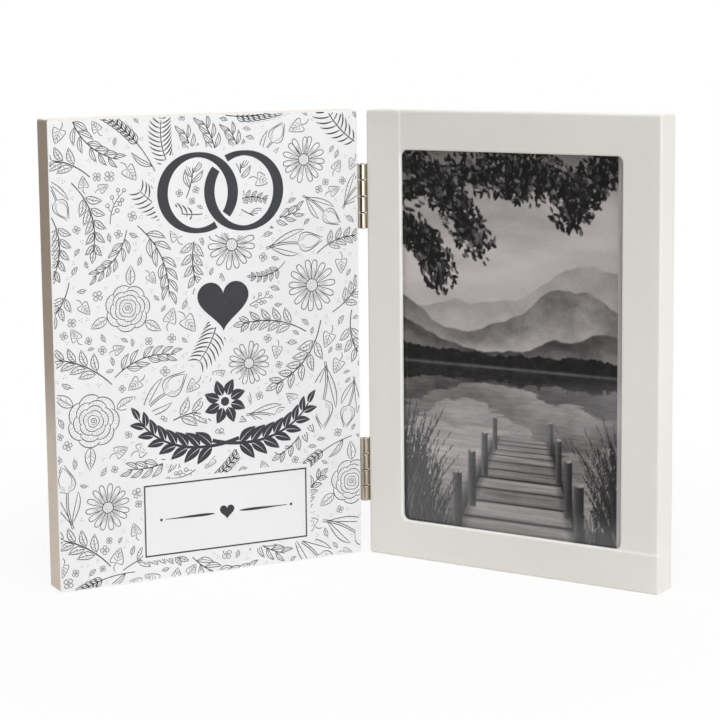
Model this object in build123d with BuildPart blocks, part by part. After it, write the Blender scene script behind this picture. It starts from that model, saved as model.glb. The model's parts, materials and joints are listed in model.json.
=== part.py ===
"""A hinged double photo frame that stands open like a book.

On the left is a solid painted board with a printed face sheet. On the right is a frame, routed from
one board, that holds a pane of glass, a photo and a backing board behind a rounded window. Two small
butt hinges join the inner edges of the two panels, with their barrels showing in the gap between the
front faces. Four turn buttons in a recess at the back of the frame hold the backing board.

Frame: +Z is up, the open side faces -Y, and the origin is on the table, under the middle of the part.
Each panel has its own plane: x runs along the panel from left to right, y is up, and z points out of
the front face. The hinge axis is the line x = 0, z = 0 of both planes.
"""

from build123d import *

import os
from math import cos, radians, sin, tan

# Driving dimensions, in millimetres and degrees

# How far the panels stand open, measured between their front faces
open_angle = 120.0

# The photo, and how much of each edge the frame's lip covers
photo_width = 101.6
photo_height = 152.4
photo_thickness = 0.25
photo_overlap = 3.8

# The panels, which are the window plus its borders
side_border = 15.5
end_border = 15.1
panel_thickness = 12.0
edge_radius = 1.0
face_sheet_thickness = 0.4

# The window, and the stack of sheets behind the lip
window_corner_radius = 2.6
window_edge_radius = 0.8
lip_thickness = 1.4
glass_thickness = 1.6
backing_thickness = 4.0
pocket_clearance = 0.9
backing_clearance = 0.5
recess_corner_radius = 4.0

# The butt hinges
hinge_length = 25.4
hinge_inset = 33.5
face_setback = 0.3
barrel_radius = 1.65
barrel_clearance = 0.12
pin_radius = 0.85
pin_clearance = 0.05
pin_chamfer = 0.2
knuckles_per_leaf = 2
knuckle_gap = 0.3
knuckle_round = 0.3
leaf_thickness = 1.0
leaf_width = 9.5
leaf_notch_clearance = 0.25
leaf_corner_radius = 1.5

# The countersunk screws of the hinges, two to a leaf
hinge_screw_spacing = 14.0
hinge_screw_length = 7.0
hinge_screw_radius = 1.0
hinge_screw_head_radius = 1.9
hinge_screw_tip = 1.5
countersink_angle = 90.0
pilot_clearance = 0.05

# The turn buttons and their pan-head screws
button_spacing = 76.0
button_root_radius = 3.0
button_tip_radius = 2.2
button_thickness = 0.8
button_edge_radius = 0.15
button_lap = 6.0
button_side_gap = 0.3
button_play = 0.05
button_bore_clearance = 0.05
button_screw_radius = 1.1
button_screw_length = 5.6
button_screw_tip = 1.2
button_screw_head_radius = 2.2
button_screw_head_height = 1.3
button_screw_rim_height = 0.4

# The cross recess of every screw
cross_length = 2.2
cross_width = 0.5
cross_depth = 0.6

# Sizes that follow from these

swing = radians((180.0 - open_angle) / 2)
window_width = photo_width - 2 * photo_overlap
window_height = photo_height - 2 * photo_overlap
panel_width = window_width + 2 * side_border
panel_height = window_height + 2 * end_border
hinge_offset = barrel_radius + barrel_clearance
panel_middle = hinge_offset + panel_width / 2
# The round of the window's front edge stays within the lip.
window_round = min(window_edge_radius, 0.8 * lip_thickness)

pocket_width = photo_width + 2 * pocket_clearance
pocket_height = photo_height + 2 * pocket_clearance
# The largest round that still clears the photo's square corners is 3.41 times the clearance.
pocket_corner_radius = 3.3 * pocket_clearance
photo_depth = lip_thickness + glass_thickness
backing_depth = photo_depth + photo_thickness
shoulder_depth = backing_depth + backing_thickness
# The shoulder around the pocket is wide enough for a turn button to swing on.
shoulder_width = 2 * (button_root_radius + button_side_gap)
recess_width = pocket_width + 2 * shoulder_width
recess_height = pocket_height + 2 * shoulder_width

leaf_root = barrel_radius + leaf_notch_clearance
leaf_screw_depth = (leaf_root + leaf_width) / 2
leaf_face = hinge_offset - leaf_thickness
hinge_screw_flare = hinge_screw_head_radius - hinge_screw_radius
hinge_screw_head_depth = hinge_screw_flare / tan(radians(countersink_angle / 2))
knuckle_pitch = hinge_length / (2 * knuckles_per_leaf)
knuckle_length = knuckle_pitch - knuckle_gap
tab_length = leaf_root - barrel_radius / 2
hinge_heights = {"lower": hinge_inset, "upper": panel_height - hinge_inset}

button_pivot = pocket_width / 2 + shoulder_width / 2
button_reach = shoulder_width / 2 + backing_clearance + button_lap
button_head_base = button_thickness + 2 * button_play
button_head_top = button_head_base + button_screw_head_height
button_dome_height = button_screw_head_height - button_screw_rim_height
button_dome_radius = (button_screw_head_radius**2 / button_dome_height + button_dome_height) / 2
button_heights = {
    "lower": panel_height / 2 - button_spacing / 2,
    "upper": panel_height / 2 + button_spacing / 2,
}

# The origin lies under the middle of the part, so the hinge axis stands behind it.
front_reach = (hinge_offset + panel_width) * sin(swing) - face_setback * cos(swing)
back_reach = (
    (face_setback + panel_thickness - edge_radius) * cos(swing)
    + edge_radius
    - (hinge_offset + edge_radius) * sin(swing)
)
hinge_y = (front_reach - back_reach) / 2

LEFT, RIGHT = -1, 1
SIDE_NAMES = {LEFT: "left", RIGHT: "right"}


def panel_plane(side):
    """The plane through the hinge axis, parallel to one panel's front face."""
    return Plane(
        origin=(0, hinge_y, 0),
        x_dir=(cos(swing), -side * sin(swing), 0),
        z_dir=(-side * sin(swing), -cos(swing), 0),
    )


def depth_plane(side, depth):
    """A plane at a depth behind one panel's front face."""
    return panel_plane(side).offset(-face_setback - depth)


def plan_plane(side, height):
    """A level plane at a height: x runs along the panel, and y towards its back."""
    return Plane(
        origin=(0, hinge_y, height), x_dir=panel_plane(side).x_dir, z_dir=(0, 0, 1)
    )


def hinge_screw_seats(side, hinge_height):
    """The planes of one leaf's screw heads, facing out of the leaf into the gap."""
    panel = panel_plane(side)
    return [
        Plane(
            origin=panel.from_local_coords(
                (side * leaf_face, hinge_height + offset, -leaf_screw_depth)
            ),
            x_dir=(0, 0, 1),
            z_dir=panel.x_dir * -side,
        )
        for offset in (-hinge_screw_spacing / 2, hinge_screw_spacing / 2)
    ]


def hinge_screw_holes(side, heights):
    """Cuts the holes of the hinge screws at these hinge heights, countersunk from the leaf's face."""
    with Locations(*[seat for height in heights for seat in hinge_screw_seats(side, height)]):
        CounterSinkHole(
            hinge_screw_radius + pilot_clearance,
            hinge_screw_head_radius,
            depth=hinge_screw_length,
            counter_sink_angle=countersink_angle,
        )


def button_seat(edge, height):
    """The plane on the recess shoulder where a turn button pivots, facing out of the back."""
    shoulder = depth_plane(RIGHT, shoulder_depth)
    return Plane(
        origin=shoulder.from_local_coords((panel_middle + edge * button_pivot, height, 0)),
        x_dir=shoulder.x_dir * -edge,
        z_dir=shoulder.z_dir * -1,
    )


def cross_recess(seat):
    """Cuts a cross recess into the head of the screw whose top lies on this plane."""
    with Locations(seat):
        Box(cross_length, cross_width, 2 * cross_depth, mode=Mode.SUBTRACT)
        Box(cross_width, cross_length, 2 * cross_depth, mode=Mode.SUBTRACT)


def save(piece, name):
    """Labels a finished piece and writes it to its own file."""
    piece.part.label = name
    export_step(piece.part, f"parts/{name}.step")


os.makedirs("parts", exist_ok=True)

# The left board: crisp front edges under the sheet, and every other edge softened
with BuildPart() as left_board:
    with BuildSketch(depth_plane(LEFT, face_sheet_thickness)):
        with Locations((-panel_middle, panel_height / 2)):
            Rectangle(panel_width, panel_height)
    extrude(amount=face_sheet_thickness - panel_thickness)
    front_face = left_board.faces().sort_by(Axis((0, 0, 0), panel_plane(LEFT).z_dir))[-1]
    fillet(left_board.edges() - front_face.edges(), radius=edge_radius)
    hinge_screw_holes(LEFT, hinge_heights.values())
save(left_board, "left_board")

# The printed sheet, bonded over the whole front of the board
with BuildPart() as printed_face:
    with BuildSketch(depth_plane(LEFT, 0)):
        with Locations((-panel_middle, panel_height / 2)):
            RectangleRounded(panel_width, panel_height, edge_radius)
    extrude(amount=-face_sheet_thickness)
save(printed_face, "printed_face")

# The frame board: a rounded window, a pocket for the sheets, and a wider recess for the buttons
with BuildPart() as frame_board:
    with BuildSketch(depth_plane(RIGHT, 0)):
        with Locations((panel_middle, panel_height / 2)):
            Rectangle(panel_width, panel_height)
    extrude(amount=-panel_thickness)
    fillet(frame_board.edges(), radius=edge_radius)
    with BuildSketch(depth_plane(RIGHT, 0)):
        with Locations((panel_middle, panel_height / 2)):
            RectangleRounded(window_width, window_height, window_corner_radius)
    extrude(amount=-panel_thickness, mode=Mode.SUBTRACT)
    with BuildSketch(depth_plane(RIGHT, lip_thickness)):
        with Locations((panel_middle, panel_height / 2)):
            RectangleRounded(pocket_width, pocket_height, pocket_corner_radius)
    extrude(amount=lip_thickness - panel_thickness, mode=Mode.SUBTRACT)
    with BuildSketch(depth_plane(RIGHT, shoulder_depth)):
        with Locations((panel_middle, panel_height / 2)):
            RectangleRounded(recess_width, recess_height, recess_corner_radius)
    extrude(amount=shoulder_depth - panel_thickness, mode=Mode.SUBTRACT)
    front_face = frame_board.faces().sort_by(Axis((0, 0, 0), panel_plane(RIGHT).z_dir))[-1]
    fillet(front_face.inner_wires()[0].edges(), radius=window_round)
    hinge_screw_holes(RIGHT, hinge_heights.values())
    with Locations(*[button_seat(e, h) for e in (LEFT, RIGHT) for h in button_heights.values()]):
        Hole(button_screw_radius + pilot_clearance, depth=button_screw_length)
save(frame_board, "frame_board")

# The glass, seated against the back of the lip
with BuildPart() as glass_pane:
    with BuildSketch(depth_plane(RIGHT, lip_thickness)):
        with Locations((panel_middle, panel_height / 2)):
            Rectangle(photo_width, photo_height)
    extrude(amount=-glass_thickness)
save(glass_pane, "glass_pane")

# The photo, pressed flat against the glass
with BuildPart() as photo_print:
    with BuildSketch(depth_plane(RIGHT, photo_depth)):
        with Locations((panel_middle, panel_height / 2)):
            Rectangle(photo_width, photo_height)
    extrude(amount=-photo_thickness)
save(photo_print, "photo_print")

# The backing board, flush with the shoulder that carries the turn buttons
with BuildPart() as backing_board:
    with BuildSketch(depth_plane(RIGHT, backing_depth)):
        with Locations((panel_middle, panel_height / 2)):
            RectangleRounded(
                pocket_width - 2 * backing_clearance,
                pocket_height - 2 * backing_clearance,
                pocket_corner_radius - backing_clearance,
            )
    extrude(amount=-backing_thickness)
save(backing_board, "backing_board")

# The hinges: a leaf on each panel's inner edge, a pin, and two screws to a leaf
for hinge, hinge_height in hinge_heights.items():
    foot = hinge_height - hinge_length / 2

    for side in (LEFT, RIGHT):
        plan = plan_plane(side, foot)
        plate_x = side * (hinge_offset - leaf_thickness / 2)
        # The pin is tight in the left leaf, and the right leaf turns on it.
        bore_radius = pin_radius if side == LEFT else pin_radius + pin_clearance
        # From the top down, the left leaf has the first knuckle, the right leaf the second, and so on.
        first_knuckle = 1 if side == LEFT else 0
        knuckle_planes = [
            plan.offset(knuckle * knuckle_pitch + knuckle_gap / 2)
            for knuckle in range(first_knuckle, 2 * knuckles_per_leaf, 2)
        ]

        with BuildPart() as leaf:
            with BuildSketch(plan):
                with Locations((plate_x, (leaf_root + leaf_width) / 2)):
                    Rectangle(leaf_thickness, leaf_width - leaf_root)
            extrude(amount=hinge_length)
            across = leaf.edges().filter_by(Axis((0, 0, 0), plan.x_dir))
            fillet(across.group_by(Axis((0, 0, 0), plan.y_dir))[-1], radius=leaf_corner_radius)
            with BuildSketch(*knuckle_planes):
                Circle(barrel_radius)
            extrude(amount=knuckle_length)
            rims = leaf.edges().filter_by(lambda edge: edge.is_closed)
            fillet(rims, radius=knuckle_round)
            with BuildSketch(*knuckle_planes):
                with Locations((plate_x, leaf_root - tab_length / 2)):
                    Rectangle(leaf_thickness, tab_length)
            extrude(amount=knuckle_length)
            with BuildSketch(plan):
                Circle(bore_radius)
            extrude(amount=hinge_length, mode=Mode.SUBTRACT)
            hinge_screw_holes(side, [hinge_height])
        save(leaf, f"{hinge}_hinge_{SIDE_NAMES[side]}_leaf")

        # Each screw is turned about its own axis, with its flat head flush with the leaf.
        with BuildPart() as leaf_screws:
            for seat in hinge_screw_seats(side, hinge_height):
                with BuildSketch(Plane(seat.origin, x_dir=seat.x_dir, z_dir=seat.y_dir * -1)):
                    with BuildLine():
                        Polyline(
                            (0, 0),
                            (hinge_screw_head_radius, 0),
                            (hinge_screw_radius, -hinge_screw_head_depth),
                            (hinge_screw_radius, hinge_screw_tip - hinge_screw_length),
                            (0, -hinge_screw_length),
                            close=True,
                        )
                    make_face()
                revolve(axis=Axis(seat.origin, seat.z_dir))
                cross_recess(seat)
        save(leaf_screws, f"{hinge}_hinge_{SIDE_NAMES[side]}_screws")

    with BuildPart() as hinge_pin:
        with BuildSketch(Plane((0, hinge_y, foot))):
            Circle(pin_radius)
        extrude(amount=hinge_length)
        chamfer(hinge_pin.edges().filter_by(GeomType.CIRCLE), length=pin_chamfer)
    save(hinge_pin, f"{hinge}_hinge_pin")

# The turn buttons: each pivots on a pan-head screw in the shoulder and laps over the backing board
for edge, edge_name in ((LEFT, "hinge_side"), (RIGHT, "outer_side")):
    for level, height in button_heights.items():
        seat = button_seat(edge, height)

        with BuildPart() as turn_button:
            with BuildSketch(seat.offset(button_play)):
                Circle(button_root_radius)
                with Locations((button_reach - button_tip_radius, 0)):
                    Circle(button_tip_radius)
                make_hull()
                Circle(button_screw_radius + button_bore_clearance, mode=Mode.SUBTRACT)
            extrude(amount=button_thickness)
            rear_face = turn_button.faces().sort_by(Axis((0, 0, 0), seat.z_dir))[-1]
            fillet(rear_face.outer_wire().edges(), radius=button_edge_radius)
        save(turn_button, f"turn_button_{edge_name}_{level}")

        with BuildPart() as button_screw:
            with BuildSketch(Plane(seat.origin, x_dir=seat.x_dir, z_dir=seat.y_dir * -1)):
                with BuildLine():
                    dome = RadiusArc(
                        (0, button_head_top),
                        (button_screw_head_radius, button_head_base + button_screw_rim_height),
                        button_dome_radius,
                    )
                    Polyline(
                        dome @ 1,
                        (button_screw_head_radius, button_head_base),
                        (button_screw_radius, button_head_base),
                        (button_screw_radius, button_screw_tip - button_screw_length),
                        (0, -button_screw_length),
                        dome @ 0,
                    )
                make_face()
            revolve(axis=Axis(seat.origin, seat.z_dir))
            cross_recess(seat.offset(button_head_top))
        save(button_screw, f"turn_button_{edge_name}_{level}_screw")
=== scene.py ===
"""Looks of the hinged double photo frame: finishes, print, picture, light and camera.

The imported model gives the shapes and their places. This script gives every part its finish,
prints the left board with line drawings, puts a made-up lake picture behind the glass and sets
up the studio. Names that end in _mm hold millimetres; all else is in metres.
"""

from __future__ import annotations

import json
import logging
import math
from dataclasses import dataclass, field
from enum import Enum
from functools import cached_property
from typing import Callable, Iterable, Mapping, Sequence, Union

import bpy
import numpy as np
from mathutils import Matrix, Vector

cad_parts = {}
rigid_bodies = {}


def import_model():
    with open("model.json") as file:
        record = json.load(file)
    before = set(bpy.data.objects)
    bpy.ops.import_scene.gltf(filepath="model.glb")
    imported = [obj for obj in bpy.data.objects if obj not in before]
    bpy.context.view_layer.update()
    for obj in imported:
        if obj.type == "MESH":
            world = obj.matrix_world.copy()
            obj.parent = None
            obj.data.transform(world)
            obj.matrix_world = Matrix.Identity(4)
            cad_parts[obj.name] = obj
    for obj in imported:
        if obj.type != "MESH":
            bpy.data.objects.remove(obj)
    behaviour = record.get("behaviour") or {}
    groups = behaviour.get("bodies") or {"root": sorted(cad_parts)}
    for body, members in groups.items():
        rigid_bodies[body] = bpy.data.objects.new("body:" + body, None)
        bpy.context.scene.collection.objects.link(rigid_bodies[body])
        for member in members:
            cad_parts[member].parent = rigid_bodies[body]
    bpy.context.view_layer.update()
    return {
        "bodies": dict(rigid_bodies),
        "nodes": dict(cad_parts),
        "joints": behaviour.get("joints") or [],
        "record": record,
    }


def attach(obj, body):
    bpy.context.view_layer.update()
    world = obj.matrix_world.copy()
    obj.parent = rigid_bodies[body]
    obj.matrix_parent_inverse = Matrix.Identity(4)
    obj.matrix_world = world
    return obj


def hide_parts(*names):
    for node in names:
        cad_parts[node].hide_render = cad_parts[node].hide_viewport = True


logging.basicConfig(level=logging.INFO, format="%(message)s")
LOG = logging.getLogger("photo_frame")

MM = 0.001

Socket = bpy.types.NodeSocket
Sockets = Mapping[str, Socket]
Term = Union[float, Socket]
Colour = tuple[float, float, float, float]
Span = tuple[float, float]
Place = tuple[float, float, float]
Labels = tuple[str, ...]
Path = np.ndarray
Tones = np.ndarray

WHITE: Colour = (1.0, 1.0, 1.0, 1.0)
GOLDEN_ANGLE = 2.399963


class Side(Enum):
    """The two panels, as the sign of their place beside the hinge."""

    LEFT = -1
    RIGHT = 1


class Ink(Enum):
    """The two inks of the print's lines."""

    OUTLINE = "outline"
    SHADING = "shading"


def linear(shares: Tones) -> Tones:
    """Turns display tones from 0 to 1 into the linear ones that shaders take."""
    return np.where(shares <= 0.04045, shares / 12.92, ((shares + 0.055) / 1.055) ** 2.4)


def colour(red: int, green: int, blue: int) -> Colour:
    """Turns a display colour, from 0 to 255, into a linear one with an alpha of 1."""
    return (*linear(np.array([red, green, blue]) / 255).tolist(), 1.0)


def placed(*columns: Vector) -> Matrix:
    """Makes the matrix whose columns are three axes and an origin."""
    return Matrix([(*column, float(number == 3)) for number, column in enumerate(columns)]).transposed()


def ease(low: float | Tones, high: float | Tones, value: Tones) -> Tones:
    """Rises smoothly from 0 at low to 1 at high.

    Args:
        low: where the rise starts.
        high: where it ends; below low, it falls instead.
        value: the values to ease.

    Returns:
        Values from 0 to 1.
    """
    share = np.clip((value - low) / (high - low), 0.0, 1.0)
    return share * share * (3.0 - 2.0 * share)


def points_of(obj: bpy.types.Object) -> Path:
    """Gives the points of a mesh, one to a row.

    Args:
        obj: an object with a mesh.

    Returns:
        The points on the object's own axes.
    """
    points = np.empty(len(obj.data.vertices) * 3)
    obj.data.vertices.foreach_get("co", points)
    return points.reshape(-1, 3)


@dataclass(frozen=True)
class PanelPlane:
    """One panel's own axes: along its width, into its depth and up."""

    side: Side
    hinge: Vector
    swing: float

    @property
    def along(self) -> Vector:
        """Left to right over the panel, as seen from the front."""
        return Vector((math.cos(self.swing), -self.side.value * math.sin(self.swing), 0.0))

    @property
    def front(self) -> Vector:
        """Straight out of the panel's front."""
        return Vector((-self.side.value * math.sin(self.swing), -math.cos(self.swing), 0.0))

    def extent(self, node: bpy.types.Object) -> tuple[Vector, Vector]:
        """Measures a node along the panel's axes.

        Args:
            node: a mesh object whose place is in its mesh.

        Returns:
            The lowest and highest distance along, into and up the panel, from the hinge's foot.
        """
        away = points_of(node) - np.array(self.hinge)
        own = np.stack([away @ np.array(self.along), -away @ np.array(self.front), away[:, 2]], 1)
        return Vector(own.min(axis=0)), Vector(own.max(axis=0))

    def face(self, low: Vector) -> Matrix:
        """Places artwork drawn in millimetres on a face.

        Args:
            low: the face's lower left front corner, as extent() measures it.

        Returns:
            A matrix whose X runs along, Y up and Z out of the face.
        """
        corner = self.hinge + self.along * low.x - self.front * low.y + Vector((0, 0, low.z))
        return placed(self.along * MM, Vector((0, 0, MM)), self.front * MM, corner)


class Bench:
    """Builds a node tree step by step."""

    def __init__(self, tree: bpy.types.NodeTree) -> None:
        """Takes the tree to build in."""
        self.tree = tree

    def add(self, kind: str, inputs: Mapping[str | int, object] | None = None,
            **settings: object) -> bpy.types.Node:
        """Adds a node.

        Args:
            kind: the node's type.
            inputs: values or sockets for its inputs, by name or number.
            settings: the node's own settings.

        Returns:
            The new node.
        """
        node = self.tree.nodes.new(kind)
        for name, value in settings.items():
            setattr(node, name, value)
        for key, value in (inputs or {}).items():
            self.feed(value, node.inputs[key])
        return node

    def feed(self, value: object, socket: Socket) -> None:
        """Links a socket, or sets a plain value.

        Args:
            value: a socket to link or a value to set.
            socket: the input that takes it.
        """
        if isinstance(value, bpy.types.NodeSocket):
            self.tree.links.new(value, socket)
        else:
            socket.default_value = value

    def math(self, operation: str, *terms: Term, clamp: bool = False) -> Socket:
        """Adds a Math node.

        Args:
            operation: the node's operation.
            terms: numbers or sockets.
            clamp: whether the result is held between 0 and 1.

        Returns:
            The result's socket.
        """
        inputs = dict(enumerate(terms))
        return self.add("ShaderNodeMath", inputs, operation=operation, use_clamp=clamp).outputs[0]

    def vector(self, operation: str, *terms: object) -> Socket:
        """Adds a Vector Math node, and gives its vector or its one value."""
        node = self.add("ShaderNodeVectorMath", dict(enumerate(terms)), operation=operation)
        return node.outputs["Value" if operation in ("LENGTH", "DISTANCE", "DOT_PRODUCT") else "Vector"]

    def weighed(self, *parts: tuple[Socket, float]) -> Socket:
        """Adds up two values by their weights."""
        return self.math("ADD", *(self.math("MULTIPLY", value, weight) for value, weight in parts))

    def noise(self, vector: Socket, size: Term, detail: float = 3.0, warp: float = 0.0) -> Socket:
        """Adds noise.

        Args:
            vector: where the surface is, in millimetres.
            size: the size of the largest features in millimetres.
            detail: how many finer layers are added.
            warp: how far the noise is distorted.

        Returns:
            The noise's socket, from 0 to 1.
        """
        scale = self.math("DIVIDE", 1.0, size) if isinstance(size, bpy.types.NodeSocket) else 1.0 / size
        inputs = {"Vector": vector, "Scale": scale, "Detail": detail, "Distortion": warp}
        return self.add("ShaderNodeTexNoise", inputs).outputs["Fac"]

    def spread(self, value: Term, start: Span, result: Span = (0.0, 1.0)) -> Socket:
        """Maps a range to another smoothly, and holds it at both ends.

        Args:
            value: the value to map.
            start: where it comes from.
            result: where it goes.

        Returns:
            The mapped value's socket.
        """
        inputs = {0: value, 1: start[0], 2: start[1], 3: result[0], 4: result[1]}
        return self.add("ShaderNodeMapRange", inputs, interpolation_type="SMOOTHSTEP").outputs[0]

    def blend(self, share: Term, first: object, second: object, mode: str = "MIX") -> Socket:
        """Mixes two colours.

        Args:
            share: how much of the second.
            first: a colour or socket.
            second: a colour or socket.
            mode: the blend type.

        Returns:
            The mixed colour's socket.
        """
        inputs = {"Factor": share, 6: first, 7: second}
        return self.add("ShaderNodeMix", inputs, data_type="RGBA", blend_type=mode).outputs[2]

    def stretched(self, vector: Socket, scale: Sequence[float], turn: Sequence[float] = (0, 0, 0)) -> Socket:
        """Scales and turns a pattern's coordinates."""
        inputs = {"Vector": vector, "Scale": scale, "Rotation": turn}
        return self.add("ShaderNodeMapping", inputs).outputs[0]


class EffectBench(Bench):
    """Builds a shared effect: a node group that takes the surface's place and more."""

    def __init__(self, name: str, vectors: Labels, numbers: Labels, gives: Labels) -> None:
        """Starts the group.

        Args:
            name: the group's name.
            vectors: the names of the inputs that are vectors, apart from the place.
            numbers: the names of those that are numbers.
            gives: the outputs' names, all of them numbers.
        """
        super().__init__(bpy.data.node_groups.new(name, "ShaderNodeTree"))
        inputs = (("Vector", *vectors), "INPUT", "Vector"), (numbers, "INPUT", "Float")
        for labels, way, kind in (*inputs, (gives, "OUTPUT", "Float")):
            for label in labels:
                self.tree.interface.new_socket(label, in_out=way, socket_type=f"NodeSocket{kind}")
        self.takes = self.add("NodeGroupInput").outputs
        self.gives = self.add("NodeGroupOutput").inputs

    def give(self, **values: Socket) -> bpy.types.NodeTree:
        """Links the outputs.

        Args:
            values: the results, by the outputs' names.

        Returns:
            The finished group.
        """
        for label, value in values.items():
            self.feed(value, self.gives[label])
        return self.tree


class Effects:
    """The shared effects, each a node group that is built once."""

    def __init__(self) -> None:
        """Builds every group."""
        self.paint_skin = self.draw_paint_skin()
        self.edge_rub = self.draw_edge_rub()
        self.window_rim = self.draw_window_edge_highlight()
        self.plating = self.draw_plating()
        self.hand_marks = self.draw_hand_marks()

    @staticmethod
    def draw_paint_skin() -> bpy.types.NodeTree:
        """Draws sprayed paint: a fine orange peel, faint clouds of tone and of gloss.

        Returns:
            The group.
        """
        bench = EffectBench("paint_skin", (), ("Peel",), ("Height", "Tone", "Gloss"))
        place = bench.takes["Vector"]
        peel, nibs = bench.noise(place, bench.takes["Peel"], detail=1.5), bench.noise(place, 0.35, detail=1.0)
        clouds, specks = bench.noise(place, 55.0), bench.noise(place, 1.1, detail=2.0)
        return bench.give(Height=bench.weighed((peel, 1.0), (nibs, 0.18)),
                          Tone=bench.weighed((clouds, 0.75), (specks, 0.25)),
                          Gloss=bench.noise(place, 17.0, detail=4.0))

    @staticmethod
    def draw_edge_rub() -> bpy.types.NodeTree:
        """Draws handling along the edges of a box: the middle one of the three distances to its faces.

        Returns:
            The group.
        """
        bench = EffectBench("edge_rub", ("Centre", "Half"), ("Width",), ("Mask",))
        takes = bench.takes
        away = bench.vector("ABSOLUTE", bench.vector("SUBTRACT", takes["Vector"], takes["Centre"]))
        left = bench.vector("SUBTRACT", takes["Half"], away)
        parts = bench.add("ShaderNodeSeparateXYZ", {0: left}).outputs
        low = bench.math("MINIMUM", parts[0], parts[1])
        high = bench.math("MAXIMUM", parts[0], parts[1])
        middle = bench.math("MAXIMUM", low, bench.math("MINIMUM", high, parts[2]))
        near = bench.math("SUBTRACT", 1.0, bench.math("DIVIDE", middle, takes["Width"]), clamp=True)
        broken = bench.spread(bench.noise(takes["Vector"], 7.0, detail=5.0), (0.35, 0.70), (0.25, 1.0))
        return bench.give(Mask=bench.math("MULTIPLY", near, broken))

    @staticmethod
    def draw_window_edge_highlight() -> bpy.types.NodeTree:
        """Draws where a painted highlight lies along a window's lower and left edges: a band outward from
        their walls.

        The band isn't limited to the window: it runs on to the board's top and right edges, and to its back.

        Returns:
            The group.
        """
        bench = EffectBench("window_rim", ("Corner",), ("Radius", "Width"), ("Mask",))
        over = bench.vector("SUBTRACT", bench.takes["Corner"], bench.takes["Vector"])
        over = bench.vector("MAXIMUM", over, (0.0, 0.0, 0.0))
        past_wall = bench.math("SUBTRACT", bench.vector("LENGTH", over), bench.takes["Radius"])
        away = bench.math("DIVIDE", past_wall, bench.takes["Width"])
        # The mask is a painted highlight: full near the walls, fading out at the band's width.
        highlighted_band, begun = bench.spread(away, (0.60, 1.0), (1.0, 0.0)), bench.spread(away, (-0.5, -0.1))
        return bench.give(Mask=bench.math("MULTIPLY", highlighted_band, begun))

    @staticmethod
    def draw_plating() -> bpy.types.NodeTree:
        """Draws plated metal: fine turned lines, cloudy tone and a haze in the gloss.

        Returns:
            The group.
        """
        bench = EffectBench("plating", (), ("Grain",), ("Height", "Tone", "Haze"))
        place = bench.takes["Vector"]
        fine = bench.noise(bench.stretched(place, (0.06, 0.06, 1.0)), bench.takes["Grain"])
        haze = bench.weighed((bench.noise(place, 3.5), 0.6), (fine, 0.4))
        return bench.give(Height=fine, Tone=bench.noise(place, 6.0, detail=2.0), Haze=haze)

    @staticmethod
    def draw_hand_marks() -> bpy.types.NodeTree:
        """Draws faint marks of handling: soft blots with a fine grain in them.

        Returns:
            The group.
        """
        bench = EffectBench("hand_marks", (), ("Size",), ("Mask",))
        place = bench.takes["Vector"]
        blots = bench.spread(bench.noise(place, bench.takes["Size"], detail=2.0, warp=0.8), (0.52, 0.74))
        grain = bench.spread(bench.noise(place, 0.6, detail=2.0), (0.3, 0.7), (0.6, 1.0))
        return bench.give(Mask=bench.math("MULTIPLY", blots, grain))


class Coat(Bench):
    """Builds a material, with its shader and its coordinates ready for a finish."""

    def __init__(self, name: str, effects: Effects | None = None, plane: PanelPlane | None = None) -> None:
        """Starts a material with a Principled shader.

        Args:
            name: the material's name.
            effects: the shared node groups, if the finish has any.
            plane: a panel whose own axes are used, or none for the frame's.
        """
        self.material = bpy.data.materials.new(name)
        self.material.use_nodes = True
        super().__init__(self.material.node_tree)
        self.tree.nodes.clear()
        self.effects, self.plane = effects, plane
        self.shader = self.add("ShaderNodeBsdfPrincipled")
        self.output = self.add("ShaderNodeOutputMaterial", {"Surface": self.shader.outputs[0]})

    @cached_property
    def place(self) -> Socket:
        """Makes the coordinates.

        Returns:
            The socket of the surface's place in millimetres.
        """
        where = self.add("ShaderNodeTexCoord").outputs["Object"]
        mapping = self.add("ShaderNodeMapping", {"Vector": where, "Scale": (1 / MM,) * 3})
        if self.plane is not None:
            turn = self.plane.side.value * self.plane.swing
            foot = Matrix.Rotation(turn, 3, "Z") @ self.plane.hinge / MM
            mapping.inputs["Rotation"].default_value = (0.0, 0.0, turn)
            mapping.inputs["Location"].default_value = -foot
        return mapping.outputs[0]

    def effect(self, group: bpy.types.NodeTree, **inputs: object) -> Sockets:
        """Places a shared effect on the surface.

        Args:
            group: the effect.
            inputs: values or sockets for its inputs, apart from the place.

        Returns:
            The effect's outputs.
        """
        node = self.add("ShaderNodeGroup", node_tree=group)
        for label, value in {"Vector": self.place, **inputs}.items():
            self.feed(value, node.inputs[label])
        return node.outputs

    def set(self, **values: object) -> None:
        """Sets or links the shader's sockets; an underscore in a name stands for a space."""
        for name, value in values.items():
            self.feed(value, self.shader.inputs[name.replace("_", " ")])

    def bump(self, height: Socket, depth_mm: float) -> None:
        """Gives the surface a relief of the given depth."""
        inputs = {"Height": height, "Distance": depth_mm * MM, "Strength": 1.0}
        self.set(Normal=self.add("ShaderNodeBump", inputs).outputs[0])

    def veil(self, share: Socket, shader: bpy.types.Node) -> None:
        """Puts another shader over the first by a share."""
        inputs = {0: share, 1: self.shader.outputs[0], 2: shader.outputs[0]}
        self.feed(self.add("ShaderNodeMixShader", inputs).outputs[0], self.output.inputs["Surface"])


class Finish:
    """What all finishes share: a name, and a coat that each lays in its own way."""

    name: str

    def mix(self, effects: Effects, plane: PanelPlane | None = None) -> bpy.types.Material:
        """Builds the material.

        Args:
            effects: the shared node groups.
            plane: a panel whose own axes are used, or none for the frame's.

        Returns:
            The material.
        """
        coat = Coat(self.name, effects, plane)
        self.lay(coat)
        return coat.material

    def lay(self, coat: Coat) -> None:
        """Lays the finish on a coat."""
        raise NotImplementedError


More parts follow.
